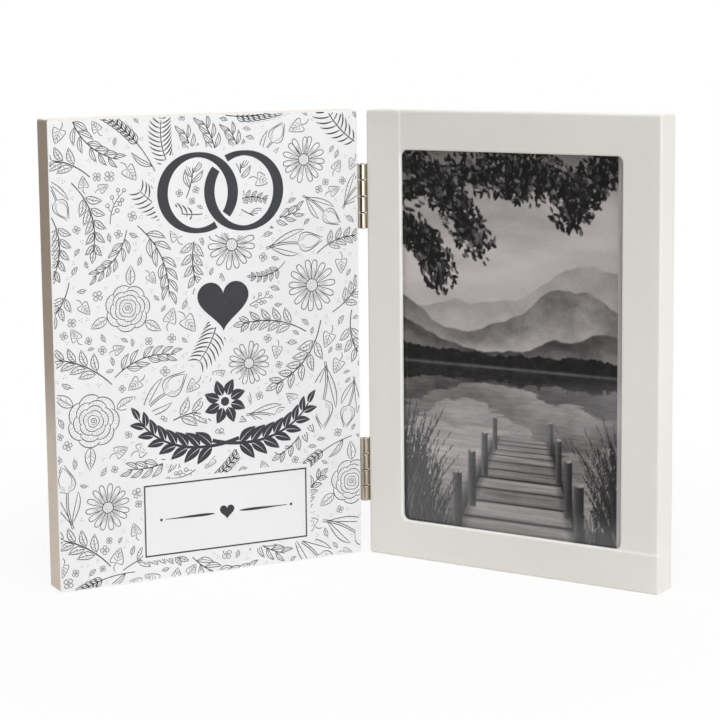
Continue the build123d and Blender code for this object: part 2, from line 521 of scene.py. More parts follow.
@dataclass(frozen=True)
class PaintFinish(Finish):
    """Satin paint on fibreboard, a little rubbed along the edges, with a painted highlight along a window's
    lower and left edges.

    The box holds the panel's two corners on its own axes, and the window the middle and the radius of a
    window's lower left corner arc, all in millimetres.
    """

    name: str
    body: Colour
    cloud: Colour
    rubbed: Colour
    box: tuple[Vector, Vector]
    window: tuple[Vector, float] | None = None
    gloss: Span = (0.34, 0.46)
    peel_mm: float = 1.6
    relief_mm: float = 0.010
    rub_mm: float = 1.1
    rub_strength: float = 0.30
    index: float = 1.48
    # The rim colour and its band are a painted highlight: lighter, glossier paint along the window's lower
    # and left edges.
    rim: Colour = colour(253, 253, 250)
    highlight_mm: float = 0.85
    highlight_gloss: float = 0.26

    def lay(self, coat: Coat) -> None:
        """Lays the skin, the rubbed edges and the painted highlight along the window's lower and left edges.

        Args:
            coat: the material to build on.
        """
        low, high = self.box
        skin = coat.effect(coat.effects.paint_skin, Peel=self.peel_mm)
        centre, half = (low + high) / 2, (high - low) / 2
        rub = coat.effect(coat.effects.edge_rub, Centre=centre, Half=half, Width=self.rub_mm)
        tone = coat.blend(coat.spread(skin["Tone"], (0.30, 0.70)), self.body, self.cloud)
        shown = coat.blend(coat.math("MULTIPLY", rub["Mask"], self.rub_strength), tone, self.rubbed)
        gloss = coat.spread(skin["Gloss"], (0.25, 0.75), self.gloss)
        # Painted highlight: the paint is lighter and glossier along the window's lower and left edges.
        if self.window is not None:
            arc, radius = self.window
            rim = coat.effect(coat.effects.window_rim, Corner=arc, Radius=radius, Width=self.highlight_mm)
            full = rim["Mask"]
            shown = coat.blend(full, shown, self.rim)
            gloss = coat.math("SUBTRACT", gloss, coat.math("MULTIPLY", full, self.highlight_gloss))
        coat.set(Base_Color=shown, Roughness=gloss, IOR=self.index)
        coat.bump(skin["Height"], self.relief_mm)


@dataclass(frozen=True)
class SheetFinish(Finish):
    """Satin printed sheet with the fine tooth of its coating."""

    name: str = "printed_sheet_satin"
    white: Colour = colour(246, 246, 247)
    shade: Colour = colour(242, 242, 244)
    gloss: Span = (0.40, 0.50)
    tooth_mm: float = 0.30
    relief_mm: float = 0.004
    mark_mm: float = 26.0
    mark_gloss: float = 0.04
    index: float = 1.45

    def lay(self, coat: Coat) -> None:
        """Lays the white coating, with faint marks of handling in its gloss.

        Args:
            coat: the material to build on.
        """
        skin = coat.effect(coat.effects.paint_skin, Peel=self.tooth_mm)
        marks = coat.effect(coat.effects.hand_marks, Size=self.mark_mm)["Mask"]
        gloss = coat.spread(skin["Gloss"], (0.25, 0.75), self.gloss)
        tone = coat.blend(coat.spread(skin["Tone"], (0.3, 0.7)), self.white, self.shade)
        marked = coat.math("SUBTRACT", gloss, coat.math("MULTIPLY", marks, self.mark_gloss))
        coat.set(Base_Color=tone, Roughness=marked, IOR=self.index)
        coat.bump(skin["Height"], self.relief_mm)


@dataclass(frozen=True)
class InkFinish(Finish):
    """Printing ink, a little uneven in density."""

    name: str
    dense: Colour
    thin: Colour
    gloss: Span = (0.42, 0.55)
    mottle_mm: float = 0.8
    relief_mm: float = 0.003
    index: float = 1.45

    def lay(self, coat: Coat) -> None:
        """Lays the mottled ink.

        Args:
            coat: the material to build on.
        """
        mottle = coat.noise(coat.place, self.mottle_mm, detail=4.0)
        gloss = coat.spread(coat.noise(coat.place, 5.0), (0.3, 0.7), self.gloss)
        tone = coat.blend(coat.spread(mottle, (0.35, 0.75)), self.dense, self.thin)
        coat.set(Base_Color=tone, Roughness=gloss, IOR=self.index)
        coat.bump(mottle, self.relief_mm)


@dataclass(frozen=True)
class PlatedFinish(Finish):
    """Plated metal with fine turned lines and a cloudy gloss."""

    name: str
    bright: Colour
    dull: Colour
    gloss: Span
    grain_mm: float = 0.12
    relief_mm: float = 0.004
    mark_mm: float = 4.0
    mark_gloss: float = 0.06

    def lay(self, coat: Coat) -> None:
        """Lays the plating, with marks of handling in its gloss.

        Args:
            coat: the material to build on.
        """
        plating = coat.effect(coat.effects.plating, Grain=self.grain_mm)
        marks = coat.effect(coat.effects.hand_marks, Size=self.mark_mm)["Mask"]
        haze = coat.spread(plating["Haze"], (0.3, 0.7), self.gloss)
        tone = coat.blend(coat.spread(plating["Tone"], (0.35, 0.7)), self.bright, self.dull)
        marked = coat.math("ADD", haze, coat.math("MULTIPLY", marks, self.mark_gloss))
        coat.set(Base_Color=tone, Roughness=marked, Metallic=1.0)
        coat.bump(plating["Height"], self.relief_mm)


@dataclass(frozen=True)
class HardboardFinish(Finish):
    """Brown hardboard: pressed fibres, dark specks and the faint screen of the press."""

    name: str = "backing_hardboard"
    brown: Colour = colour(126, 92, 62)
    pale: Colour = colour(158, 122, 86)
    dark: Colour = colour(74, 50, 33)
    gloss: Span = (0.62, 0.80)
    mesh_mm: float = 1.4
    relief_mm: float = 0.06
    index: float = 1.45

    def lay(self, coat: Coat) -> None:
        """Lays the fibres and specks, and presses the screen into them.

        Args:
            coat: the material to build on.
        """
        lying = coat.stretched(coat.place, (1.0, 1.0, 0.35), (0.0, 0.6, 0.0))
        fibres = coat.noise(lying, 0.9, detail=5.0, warp=0.8)
        clouds = coat.noise(coat.place, 14.0, detail=4.0)
        specks = coat.spread(coat.noise(coat.place, 0.75, detail=2.0), (0.66, 0.74))
        tone = coat.blend(coat.spread(fibres, (0.35, 0.68)), self.brown, self.pale)
        tone = coat.blend(coat.spread(clouds, (0.35, 0.75), (0.0, 0.45)), tone, self.dark)
        coat.set(Base_Color=coat.blend(coat.math("MULTIPLY", specks, 0.75), tone, self.dark),
                 Roughness=coat.spread(fibres, (0.3, 0.7), self.gloss), IOR=self.index)
        threads = {"Vector": coat.place, "Scale": math.pi / 10 / self.mesh_mm}
        threads.update(Distortion=0.4, Detail=1.0)
        weave = [coat.add("ShaderNodeTexWave", threads, bands_direction=axis) for axis in ("X", "Z")]
        screen = coat.math("MULTIPLY", *(wave.outputs["Fac"] for wave in weave))
        screen = coat.math("MULTIPLY", screen, 0.5)
        coat.bump(coat.math("ADD", screen, fibres), self.relief_mm)


@dataclass(frozen=True)
class GlassFinish(Finish):
    """Clear picture glass that lets the lamps through to the print behind it."""

    name: str = "picture_glass"
    tint: Colour = colour(253, 253, 253)
    index: float = 1.5
    mirror_level: float = 0.30
    mark_mm: float = 30.0
    mark_haze: float = 0.015

    def lay(self, coat: Coat) -> None:
        """Lays the glass, which is plainly clear to the rays that carry light to the print.

        Args:
            coat: the material to build on.
        """
        marks = coat.effect(coat.effects.hand_marks, Size=self.mark_mm)["Mask"]
        haze = coat.math("MULTIPLY", marks, self.mark_haze)
        coat.set(Base_Color=self.tint, IOR=self.index, Transmission_Weight=1.0, Roughness=haze,
                 Specular_IOR_Level=self.mirror_level)
        rays = coat.add("ShaderNodeLightPath").outputs
        passing = coat.math("MAXIMUM", rays["Is Shadow Ray"], rays["Is Diffuse Ray"])
        coat.veil(passing, coat.add("ShaderNodeBsdfTransparent", {"Color": self.tint}))


@dataclass(frozen=True)
class PictureFinish(Finish):
    """Semi-gloss photo paper, coloured by the picture painted on its points."""

    name: str = "photo_paper_print"
    attribute: str = "picture"
    warmth: Colour = (1.0, 0.925, 0.92, 1.0)
    gloss: Span = (0.36, 0.48)
    grain_mm: float = 0.25
    grain_span: Span = (0.2, 0.8)
    grain_tone: Span = (0.92, 1.0)
    relief_mm: float = 0.002
    index: float = 1.45
    mirror_level: float = 0.2

    def lay(self, coat: Coat) -> None:
        """Lays the picture, with the fine grain of its paper.

        Args:
            coat: the material to build on.
        """
        tones = coat.add("ShaderNodeVertexColor", layer_name=self.attribute).outputs["Color"]
        grain = coat.noise(coat.place, self.grain_mm, detail=2.0)
        grey = coat.spread(grain, self.grain_span, self.grain_tone)
        toned = coat.blend(1.0, tones, self.warmth, "MULTIPLY")
        gloss = coat.spread(grain, self.grain_span, self.gloss)
        coat.set(Base_Color=coat.blend(1.0, toned, grey, "MULTIPLY"), Roughness=gloss, IOR=self.index,
                 Specular_IOR_Level=self.mirror_level)
        coat.bump(grain, self.relief_mm)


@dataclass
class Stroke:
    """One pen stroke on the sheet, in millimetres."""

    points: Path
    widths: np.ndarray
    ink: Ink


def turned(points: Iterable[Sequence[float]], angle: float) -> Path:
    """Turns points round the origin."""
    cos, sin = math.cos(angle), math.sin(angle)
    return np.asarray(points, float) @ np.array([[cos, sin], [-sin, cos]])


def bow(start: Sequence[float], end: Sequence[float], bulge: float, count: int = 9) -> Path:
    """Draws a shallow curve between two points.

    Args:
        start: the first point.
        end: the last point.
        bulge: the curve's height as a share of its length.
        count: how many points it gets.

    Returns:
        The points.
    """
    first, last = np.asarray(start, float), np.asarray(end, float)
    share = np.linspace(0, 1, count)[:, None]
    chord = last - first
    return first + chord * share + np.array([-chord[1], chord[0]]) * bulge * 4 * share * (1 - share)


def winding(start: Sequence[float], heading: float, runs: Sequence[tuple[float, float, float]]) -> Path:
    """Draws a line whose curvature changes steadily.

    Args:
        start: the first point.
        heading: the direction at the start.
        runs: the length of each run, with its curvature at both ends.

    Returns:
        The points, about a third of a millimetre apart.
    """
    points = [np.asarray(start, float)]
    for length, first, last in runs:
        count = max(int(length / 0.35), 2)
        step = length / count
        for index in range(count):
            heading += (first + (last - first) * (index + 0.5) / count) * step
            points.append(points[-1] + step * np.array([math.cos(heading), math.sin(heading)]))
    return np.array(points)


def headings(path: Path) -> np.ndarray:
    """Gives the direction of a path at each of its points."""
    ahead = np.gradient(path, axis=0)
    return np.unwrap(np.arctan2(ahead[:, 1], ahead[:, 0]))


@dataclass
class Pen:
    """Draws plant parts as strokes that swell and thin out."""

    fine: float = 0.30
    hair: float = 0.16
    strokes: list[Stroke] = field(default_factory=list)

    def draw(self, points: Iterable[Sequence[float]], width: float, ink: Ink = Ink.OUTLINE,
             lift: Span = (0.45, 0.45)) -> None:
        """Adds a stroke.

        Args:
            points: where it goes.
            width: its width in the middle.
            ink: its ink.
            lift: the share of the width that is left at its two ends.
        """
        path = np.asarray(points, float)
        share = np.linspace(0, 1, len(path))
        ends = lift[0] * (1 - share) + lift[1] * share
        press = np.sin(np.pi * share) ** 0.5
        self.strokes.append(Stroke(path, width * (ends + (1 - ends) * press), ink))

    def stalk(self, length: float, bulge: float, count: int, width: float,
              tip: float) -> tuple[Path, np.ndarray]:
        """Adds a curved stalk that starts at the origin.

        Args:
            length: its length.
            bulge: its curve's height as a share of its length.
            count: how many points it gets.
            width: its width.
            tip: the share of the width that is left at its tip.

        Returns:
            Its points, and its direction at each of them.
        """
        stem = bow((0, 0), (length, 0), bulge, count)
        self.draw(stem, width, lift=(0.9, tip))
        return stem, headings(stem)

    def loop(self, centre: Sequence[float], radius: float, width: float, count: int = 12) -> None:
        """Adds a circle.

        Args:
            centre: its middle.
            radius: its radius.
            width: the stroke's width.
            count: how many sides it has.
        """
        angle = np.linspace(0, 2 * np.pi, count + 1)
        path = np.asarray(centre) + radius * np.stack([np.cos(angle), np.sin(angle)], 1)
        self.strokes.append(Stroke(path, np.full(count + 1, width), Ink.OUTLINE))

    def leaf(self, base: Sequence[float], angle: float, length: float, width: float, bend: float = 0.0,
             veins: int = 4, peak: float = 0.8) -> None:
        """Adds a leaf with its midrib and veins.

        Args:
            base: the leaf's foot.
            angle: its direction.
            length: its length.
            width: its greatest width.
            bend: how far it curves, as a share of its length.
            veins: how many veins it has.
            peak: below 1, the widest place is nearer the foot.
        """
        foot = np.asarray(base, float)
        share = np.linspace(0, 1, 9)
        spine = np.stack([length * share, length * bend * np.sin(np.pi * share)], 1)
        swell = width / 2 * np.sin(np.pi * share**peak)
        for side in (-1, 1):
            rim = spine + np.stack([np.zeros(9), side * swell], 1)
            self.draw(foot + turned(rim, angle), self.fine, lift=(0.6, 0.35))
        self.draw(foot + turned(spine[:-1], angle), self.fine * 0.75, lift=(0.8, 0.2))
        for index in range(veins):
            low = 0.16 + 0.56 * index / max(veins - 1, 1)
            high = low + 0.16
            for side in (1, -1) if index % 2 else (1,):
                root = np.array([length * low, length * bend * math.sin(math.pi * low)])
                rise = length * bend * math.sin(math.pi * high)
                rise += side * 0.40 * width * math.sin(math.pi * high**peak)
                rim = np.array([length * high, rise])
                middle = (root + rim) / 2 + [0.05 * length, 0]
                self.draw(foot + turned([root, middle, rim], angle), self.hair, Ink.SHADING)

    def petal(self, angle: float, inner: float, outer: float, width: float, ribs: int = 2) -> None:
        """Adds a petal that points away from the origin.

        Args:
            angle: its direction.
            inner: where it starts.
            outer: where it ends.
            width: its greatest width.
            ribs: how many lines it has at its foot.
        """
        share = np.linspace(-1, 1, 13)
        rise = 1 - np.abs(share) ** 3.2
        swell = 0.38 + 0.62 * np.sin(np.pi * rise**1.5 * 0.62)
        rim = np.stack([inner + (outer - inner) * rise, width / 2 * np.sin(share * np.pi / 2) * swell], 1)
        self.draw(turned(rim, angle), self.fine, lift=(0.7, 0.7))
        for index in range(ribs):
            aside = (index - (ribs - 1) / 2) * width * 0.22
            reach = outer - inner
            line = [[inner * 1.1, aside * 0.5], [inner + 0.35 * reach, aside],
                    [inner + 0.55 * reach, aside * 1.15]]
            self.draw(turned(line, angle), self.hair, Ink.SHADING)


class MotifBook:
    """The plants of the print, each drawn once or a few times and then scattered."""

    def __init__(self, rng: np.random.Generator) -> None:
        """Takes the source of the small differences between two drawings of a plant."""
        self.rng = rng
        self.pen = Pen()

    def pages(self, makers: Sequence[Callable[[], None]], copies: int) -> list[list[Stroke]]:
        """Draws each of some motifs a few times.

        Args:
            makers: the methods that draw the motifs.
            copies: how often each is drawn.

        Returns:
            The strokes of each drawing.
        """
        drawings = []
        for maker in makers:
            for _ in range(copies):
                self.pen = Pen()
                maker()
                drawings.append(self.pen.strokes)
        return drawings

    def laurel(self) -> None:
        """A curved sprig with paired leaves."""
        leaf, pairs = 7.0, 5
        bulge = self.rng.choice((-1, 1)) * (0.08 + 0.08 * self.rng.random())
        stem, ahead = self.pen.stalk(26.0, bulge, 13, 0.42, 0.4)
        for pair in range(pairs):
            share = 0.22 + 0.66 * pair / (pairs - 1)
            index = int(round(share * (len(stem) - 1)))
            size = leaf * (1.0 - 0.35 * share)
            for side in (-1, 1):
                turn = ahead[index] + side * (0.85 - 0.25 * share)
                twig = stem[index] + turned([[size * 0.14, 0]], turn)[0]
                self.pen.draw([stem[index], twig], 0.28)
                self.pen.leaf(twig, turn, size, size * 0.42, bend=-0.08 * side)
        self.pen.leaf(stem[-1], ahead[-1], leaf * 0.72, leaf * 0.30, veins=3)

    def willow(self) -> None:
        """A sprig of narrow leaves that alternate."""
        leaf, count = 8.5, 11
        bulge = self.rng.choice((-1, 1)) * (0.12 + 0.06 * self.rng.random())
        stem, ahead = self.pen.stalk(30.0, bulge, 15, 0.40, 0.4)
        for number in range(count):
            share = 0.15 + 0.80 * number / (count - 1)
            index = int(round(share * (len(stem) - 1)))
            side = -1 if number % 2 else 1
            size = leaf * (1.0 - 0.30 * share)
            self.pen.leaf(stem[index], ahead[index] + side * (0.60 - 0.15 * share), size, size * 0.27,
                          bend=0.10 * side, veins=2, peak=0.9)

    def fern(self) -> None:
        """A frond of narrow strokes that shorten towards the tip."""
        pairs = 13
        stem, ahead = self.pen.stalk(30.0, 0.12, 18, 0.40, 0.3)
        for pair in range(pairs):
            share = 0.14 + 0.82 * pair / (pairs - 1)
            place = share * (len(stem) - 1)
            index = min(int(place), len(stem) - 2)
            root = stem[index] + (stem[index + 1] - stem[index]) * (place - index)
            size = 6.6 * math.sin(math.pi * (0.98 - 0.80 * share)) ** 0.8 + 0.6
            for side in (-1, 1):
                tip = root + turned([[size, 0]], ahead[index] + side * 0.95)[0]
                self.pen.draw(bow(root, tip, 0.10 * side, 6), 0.52, lift=(0.25, 0.2))

    def daisy(self) -> None:
        """A full daisy from above."""
        radius, petals, seeds = 9.5, 15, 26
        inner = radius * 0.26
        for petal in range(petals):
            angle = 2 * math.pi * petal / petals + 0.05 * self.rng.normal()
            outer = radius * (0.95 + 0.07 * self.rng.random())
            self.pen.petal(angle, inner, outer, 2 * math.pi * radius * 0.66 / petals)
        self.pen.loop((0, 0), inner * 0.95, 0.34, 18)
        for seed in range(seeds):
            reach, angle = inner * 0.82 * math.sqrt((seed + 0.5) / seeds), seed * GOLDEN_ANGLE
            dot = np.array([reach * math.cos(angle), reach * math.sin(angle)])
            self.pen.draw([dot, dot + [0.22, 0.12]], 0.34, lift=(0.8, 0.8))

    def ranunculus(self) -> None:
        """A round bloom of overlapping curled petals, with three leaves."""
        radius = 9.0
        for depth, (share, count) in enumerate(((1.0, 7), (0.78, 6), (0.58, 5), (0.40, 4), (0.23, 3))):
            for petal in range(count):
                start = depth * 0.9 + 2 * math.pi * petal / count
                angle = np.linspace(start - 0.12, start + 2 * math.pi / count * 1.04, 9)
                along = np.linspace(0, 1, 9)
                reach = radius * share * (0.86 + 0.16 * np.sin(np.pi * along) ** 0.7 - 0.05 * along)
                rim = np.stack([reach * np.cos(angle), reach * np.sin(angle)], 1)
                self.pen.draw(rim, 0.34 - 0.02 * depth, lift=(0.4, 0.5))
                for line in range(4 if depth < 4 else 0):
                    turn = start + 2 * math.pi / count * (0.25 + 0.16 * line)
                    outer = radius * share * 0.93
                    inner = outer - radius * (0.10 + 0.03 * (line % 2))
                    self.pen.draw(turned([[outer, 0], [inner, 0]], turn), 0.15, Ink.SHADING)
        angle = np.linspace(0, 3.4 * math.pi, 16)
        reach = radius * 0.15 * (1 - angle / (3.9 * math.pi))
        self.pen.draw(np.stack([reach * np.cos(angle), reach * np.sin(angle)], 1), 0.30)
        for leaf in range(3):
            turn = 0.5 + 2 * math.pi * leaf / 3
            foot = turned([[radius * 0.98, 0]], turn)[0]
            self.pen.leaf(foot, turn + 0.1, radius * 0.85, radius * 0.40, veins=5)

    def tulip(self) -> None:
        """A tulip on its stem, with two long leaves."""
        height = 24.0
        stem = bow((0, 0), (height * 0.56, 0), 0.06)
        for aside in (-0.35, 0.35):
            self.pen.draw(stem + [0, aside], 0.30, lift=(0.9, 0.9))
        size, share = height * 0.44, np.linspace(0, 1, 10)
        for side in (-1, 1):
            swell = 0.36 * np.sin(np.pi * share**0.62) * (1 - 0.25 * share) + 0.05 * share
            self.pen.draw(stem[-1] + size * np.stack([share, side * swell], 1), 0.34)
            inner = np.stack([0.12 + 0.80 * share, side * 0.24 * np.sin(np.pi * share**0.8)], 1)
            self.pen.draw(stem[-1] + size * inner[2:], 0.26)
            for line in range(6):
                root = np.array([0.06 + 0.03 * line, side * (0.07 + 0.035 * line)])
                tip = root + [0.20 - 0.015 * line, side * 0.015]
                self.pen.draw(stem[-1] + size * np.array([root, tip]), 0.15, Ink.SHADING)
        share = np.linspace(0, 1, 9)
        for side, reach in ((1, 0.62), (-1, 0.48)):
            rim = height * np.stack([reach * share, side * 0.20 * np.sin(np.pi * share * 0.62)], 1)
            back = side * (0.09 * np.sin(np.pi * share * 0.5) + 0.095 * share**2)
            fold = height * np.stack([reach * share, back], 1)
            self.pen.draw(stem[1] + rim, 0.32)
            self.pen.draw(stem[1] + fold, 0.28)
            for index in (2, 3, 4, 5):
                ends = [rim[index] * [1, 0.9], (rim[index] + fold[index + 1]) / 2]
                self.pen.draw(stem[1] + np.array(ends), 0.15, Ink.SHADING)

    def berries(self) -> None:
        """A branching twig with round berries."""
        count = 7
        stem, ahead = self.pen.stalk(20.0, 0.10, 12, 0.40, 0.5)
        for number in range(count):
            share = 0.25 + 0.75 * number / (count - 1)
            index = int(round(share * (len(stem) - 1)))
            side = (-1, 1)[number % 2]
            last = number == count - 1
            turn = ahead[index] + (0.0 if last else side * 0.8)
            radius = 1.35 - 0.25 * share
            end = stem[index] + turned([[2.4 if last else 4.2 - 1.2 * share, 0]], turn)[0]
            self.pen.draw(bow(stem[index], end, 0.12 * side, 5), 0.28)
            centre = end + turned([[radius, 0]], turn)[0]
            self.pen.loop(centre, radius, 0.30)
            for line in range(3):
                first, sweep = turn + 2.2 + 0.3 * line, 0.9 - 0.15 * line
                reach = radius * 0.75 * (1 - 0.28 * line)
                arc = [turned([[reach, 0]], first + sweep * part)[0] for part in (0, 0.5, 1)]
                self.pen.draw(centre + np.array(arc), 0.16, Ink.SHADING)
            self.pen.draw(centre + turned([[radius * 0.7, 0], [radius * 1.15, 0]], turn), 0.34)

    def wheat(self) -> None:
        """An ear of wheat on a thin stalk."""
        grains = 8
        stem, ahead = self.pen.stalk(28.0, -0.08, 16, 0.34, 0.5)
        for grain in range(grains):
            index = int(round((0.46 + 0.50 * grain / (grains - 1)) * (len(stem) - 1)))
            for side in (-1, 1):
                turn = ahead[index] + side * 0.42
                root = stem[index] + turned([[0.3, side * 0.2]], ahead[index])[0]
                self.pen.leaf(root, turn, 3.6, 1.5, veins=0, peak=0.9)
                tip = root + turned([[3.5, 0]], turn)[0]
                awn = tip + turned([[3.2, 0]], ahead[index] + side * 0.20)[0]
                self.pen.draw([tip, awn], 0.16, Ink.SHADING)
        self.pen.leaf(stem[-1], ahead[-1], 3.6, 1.5, veins=0)
        self.pen.leaf(stem[2], ahead[2] + 0.5, 9.0, 1.8, bend=0.10, veins=0)

    def ivy(self) -> None:
        """A heart-shaped leaf on a curled stalk."""
        size, share = 8.0, np.linspace(0, 1, 14)
        self.pen.draw(bow((-size * 0.65, -size * 0.12), (0, 0), 0.22, 7), 0.34)
        for side in (-1, 1):
            along = -0.35 * np.sin(np.pi * share) * (1 - share) + share**1.5
            rim = np.stack([along, side * 0.46 * np.sin(np.pi * share**0.72) ** 0.9], 1)
            self.pen.draw(size * rim, 0.34)
            for vein in range(3):
                root = size * np.array([0.10 + 0.22 * vein, 0])
                end = root + size * np.array([0.24, side * (0.30 - 0.07 * vein)])
                self.pen.draw(bow(root, end, 0.10 * side, 5), 0.20)
                for part in (0.45, 0.75):
                    spot = root + (end - root) * part
                    self.pen.draw([spot, spot + [size * 0.10, 0]], 0.14, Ink.SHADING)
        self.pen.draw([[0, 0], [size * 0.5, 0], [size * 0.92, 0]], 0.26)

    def floret(self) -> None:
        """A small flower of four petals."""
        radius = 2.6
        for petal in range(4):
            self.pen.petal(petal * math.pi / 2, radius * 0.22, radius, radius * 1.05, ribs=1)
        self.pen.loop((0, 0), radius * 0.2, 0.26, 8)

    def leaflet(self) -> None:
        """A single small leaf."""
        size = 5.5
        self.pen.draw([[-size * 0.25, -0.2], [0, 0]], 0.3)
        self.pen.leaf((0, 0), 0.0, size, size * 0.42, bend=0.06, veins=3)

    def dots(self) -> None:
        """Three small dots."""
        for dot in range(3):
            spot = turned([[0.8, 0]], 2 * math.pi * dot / 3)[0]
            self.pen.draw([spot, spot + [0.25, 0.1]], 0.5, lift=(0.8, 0.8))


def ribbon(path: Path, widths: np.ndarray) -> Path:
    """Turns a path with widths into the outline of a flat ribbon.

    Args:
        path: the middle line.
        widths: its width at each point.

    Returns:
        The outline, up one side and down the other.
    """
    angle = headings(path)
    aside = np.stack([-np.sin(angle), np.cos(angle)], 1) * widths[:, None] / 2
    return np.concatenate([path - aside, (path + aside)[::-1]])


def swelling(count: int, thin: float, thick: float, peak: float) -> np.ndarray:
    """Gives widths that grow from thin to thick and back.

    Args:
        count: how many widths.
        thin: the width at both ends.
        thick: the greatest width.
        peak: where that is, from 0 to 1.

    Returns:
        The widths.
    """
    share = np.linspace(0, 1, count) ** (math.log(0.5) / math.log(peak))
    return thin + (thick - thin) * np.sin(np.pi * share) ** 1.6


def disc(centre: Sequence[float], radius: float, count: int = 24) -> Path:
    """Gives the outline of a dot."""
    angle = np.linspace(0, 2 * np.pi, count, endpoint=False)
    return np.asarray(centre, float) + radius * np.stack([np.cos(angle), np.sin(angle)], 1)


@dataclass
class Ornaments:
    """The large dark shapes of the print and the ruled box, as filled outlines."""

    middle: float = 67.5
    rings_y: float = 146.0
    ring_radius: float = 14.2
    ring_offset: float = 9.4
    ring_width: float = 4.2
    heart_y: float = 102.5
    heart_width: float = 21.0
    garland_y: float = 61.0
    box: tuple[float, float, float, float] = (34.0, 9.5, 101.0, 36.5)
    rule: float = 0.55

    def rings(self) -> list[Path]:
        """Two linked rings, each passing over the other once.

        Returns:
            Their outlines.
        """
        cross, gap = math.acos(self.ring_offset / self.ring_radius), 0.20
        outlines = []
        for side, start in ((-1, -cross), (1, math.pi - cross)):
            angle = np.linspace(start + gap, start + 2 * math.pi - gap, 110)
            path = self.ring_radius * np.stack([np.cos(angle), np.sin(angle)], 1)
            path += (self.middle + side * self.ring_offset, self.rings_y)
            outlines.append(ribbon(path, self.ring_width * (0.45 + 0.55 * np.abs(np.cos(angle)) ** 1.4)))
        return outlines

    @staticmethod
    def heart(centre: Sequence[float], width: float, count: int) -> Path:
        """A plain heart.

        Args:
            centre: its middle.
            width: its greatest width.
            count: how many points it gets.

        Returns:
            The outline.
        """
        angle = np.linspace(0, 2 * np.pi, count, endpoint=False)
        rise = 13 * np.cos(angle) - 5 * np.cos(2 * angle) - 2 * np.cos(3 * angle) - np.cos(4 * angle) + 2.4
        return np.asarray(centre, float) + np.stack([16 * np.sin(angle) ** 3, rise], 1) * width / 32

    @staticmethod
    def half_leaf(base: Path, angle: float, length: float, width: float, side: int) -> Path:
        """One solid half of a leaf, beside its open midrib.

        Args:
            base: the leaf's foot.
            angle: its direction.
            length: its length.
            width: the whole leaf's greatest width.
            side: 1 for the half to the rib's left, or -1.

        Returns:
            The outline.
        """
        gap, share = 0.14, np.linspace(0, 1, 12)
        bend = 0.06 * length * np.sin(np.pi * share)
        rim = bend + side * (gap + (width / 2 - gap) * np.sin(np.pi * share**0.78))
        rib = bend + side * gap * (1 - share)
        outside, inside = (np.stack([length * share, line], 1) for line in (rim, rib))
        return base + turned(np.concatenate([outside, inside[-2:0:-1]]), angle)

    def garland(self) -> list[Path]:
        """Two crossed branches of solid leaves under a rosette.

        Returns:
            Their outlines.
        """
        outlines = []
        stem = winding((-5.5, -9.6), -0.30, ((14, 0.02, 0.022), (18, 0.022, 0.034), (13, 0.034, 0.045)))
        ahead = headings(stem)
        shapes = [ribbon(stem, np.linspace(1.5, 0.5, len(stem)))]
        for pair in range(7):
            share = 0.26 + 0.66 * pair / 6
            index = int(share * (len(stem) - 1))
            size = 9.8 - 4.2 * share
            for hand in (-1, 1):
                base = stem[index] + 0.35 * hand * np.array([-math.sin(ahead[index]), math.cos(ahead[index])])
                angle = ahead[index] + hand * (0.80 - 0.22 * share)
                shapes += [self.half_leaf(base, angle, size, size * 0.46, half) for half in (-1, 1)]
        shapes += [self.half_leaf(stem[-1], ahead[-1], 5.8, 2.5, half) for half in (-1, 1)]
        for side in (-1, 1):
            outlines += [shape * (side, 1) + (self.middle, self.garland_y) for shape in shapes]
        centre = np.array([self.middle, self.garland_y + 5.0])
        for petal in range(8):
            angle = math.pi * (petal + 0.5) / 4
            foot = centre + turned([[2.6, 0]], angle)[0]
            outlines += [self.half_leaf(foot, angle, 6.4, 4.0, half) for half in (-1, 1)]
        return outlines + [disc(centre, 1.7)]

    def ruled_box(self) -> list[Path]:
        """A thin ruled box with a plain divider in it.

        Returns:
            The outlines of its rules and of the divider.
        """
        left, low, right, high = self.box
        half = self.rule / 2
        outlines = []
        for start, end in (((left, low), (right, low)), ((left, high), (right, high))):
            path = np.array([[start[0] - half, start[1]], [end[0] + half, end[1]]])
            outlines.append(ribbon(path, np.full(2, self.rule)))
        for across in (left, right):
            path = np.array([[across, low + half], [across, high - half]])
            outlines.append(ribbon(path, np.full(2, self.rule)))
        centre = np.array([self.middle, (low + high) / 2])
        for side in (-1, 1):
            path = np.stack([np.linspace(5.2, 25.2, 16), np.zeros(16)], 1) * (side, 1) + centre
            outlines.append(ribbon(path, swelling(16, 0.25, 1.0, 0.28)))
            outlines.append(disc(centre + (side * 27.0, 0), 0.55, 14))
        return outlines + [self.heart(centre, 6.0, 40)]

    def large_shapes(self) -> list[Path]:
        """All shapes but the box."""
        return self.rings() + [self.heart((self.middle, self.heart_y), self.heart_width, 72)] + self.garland()


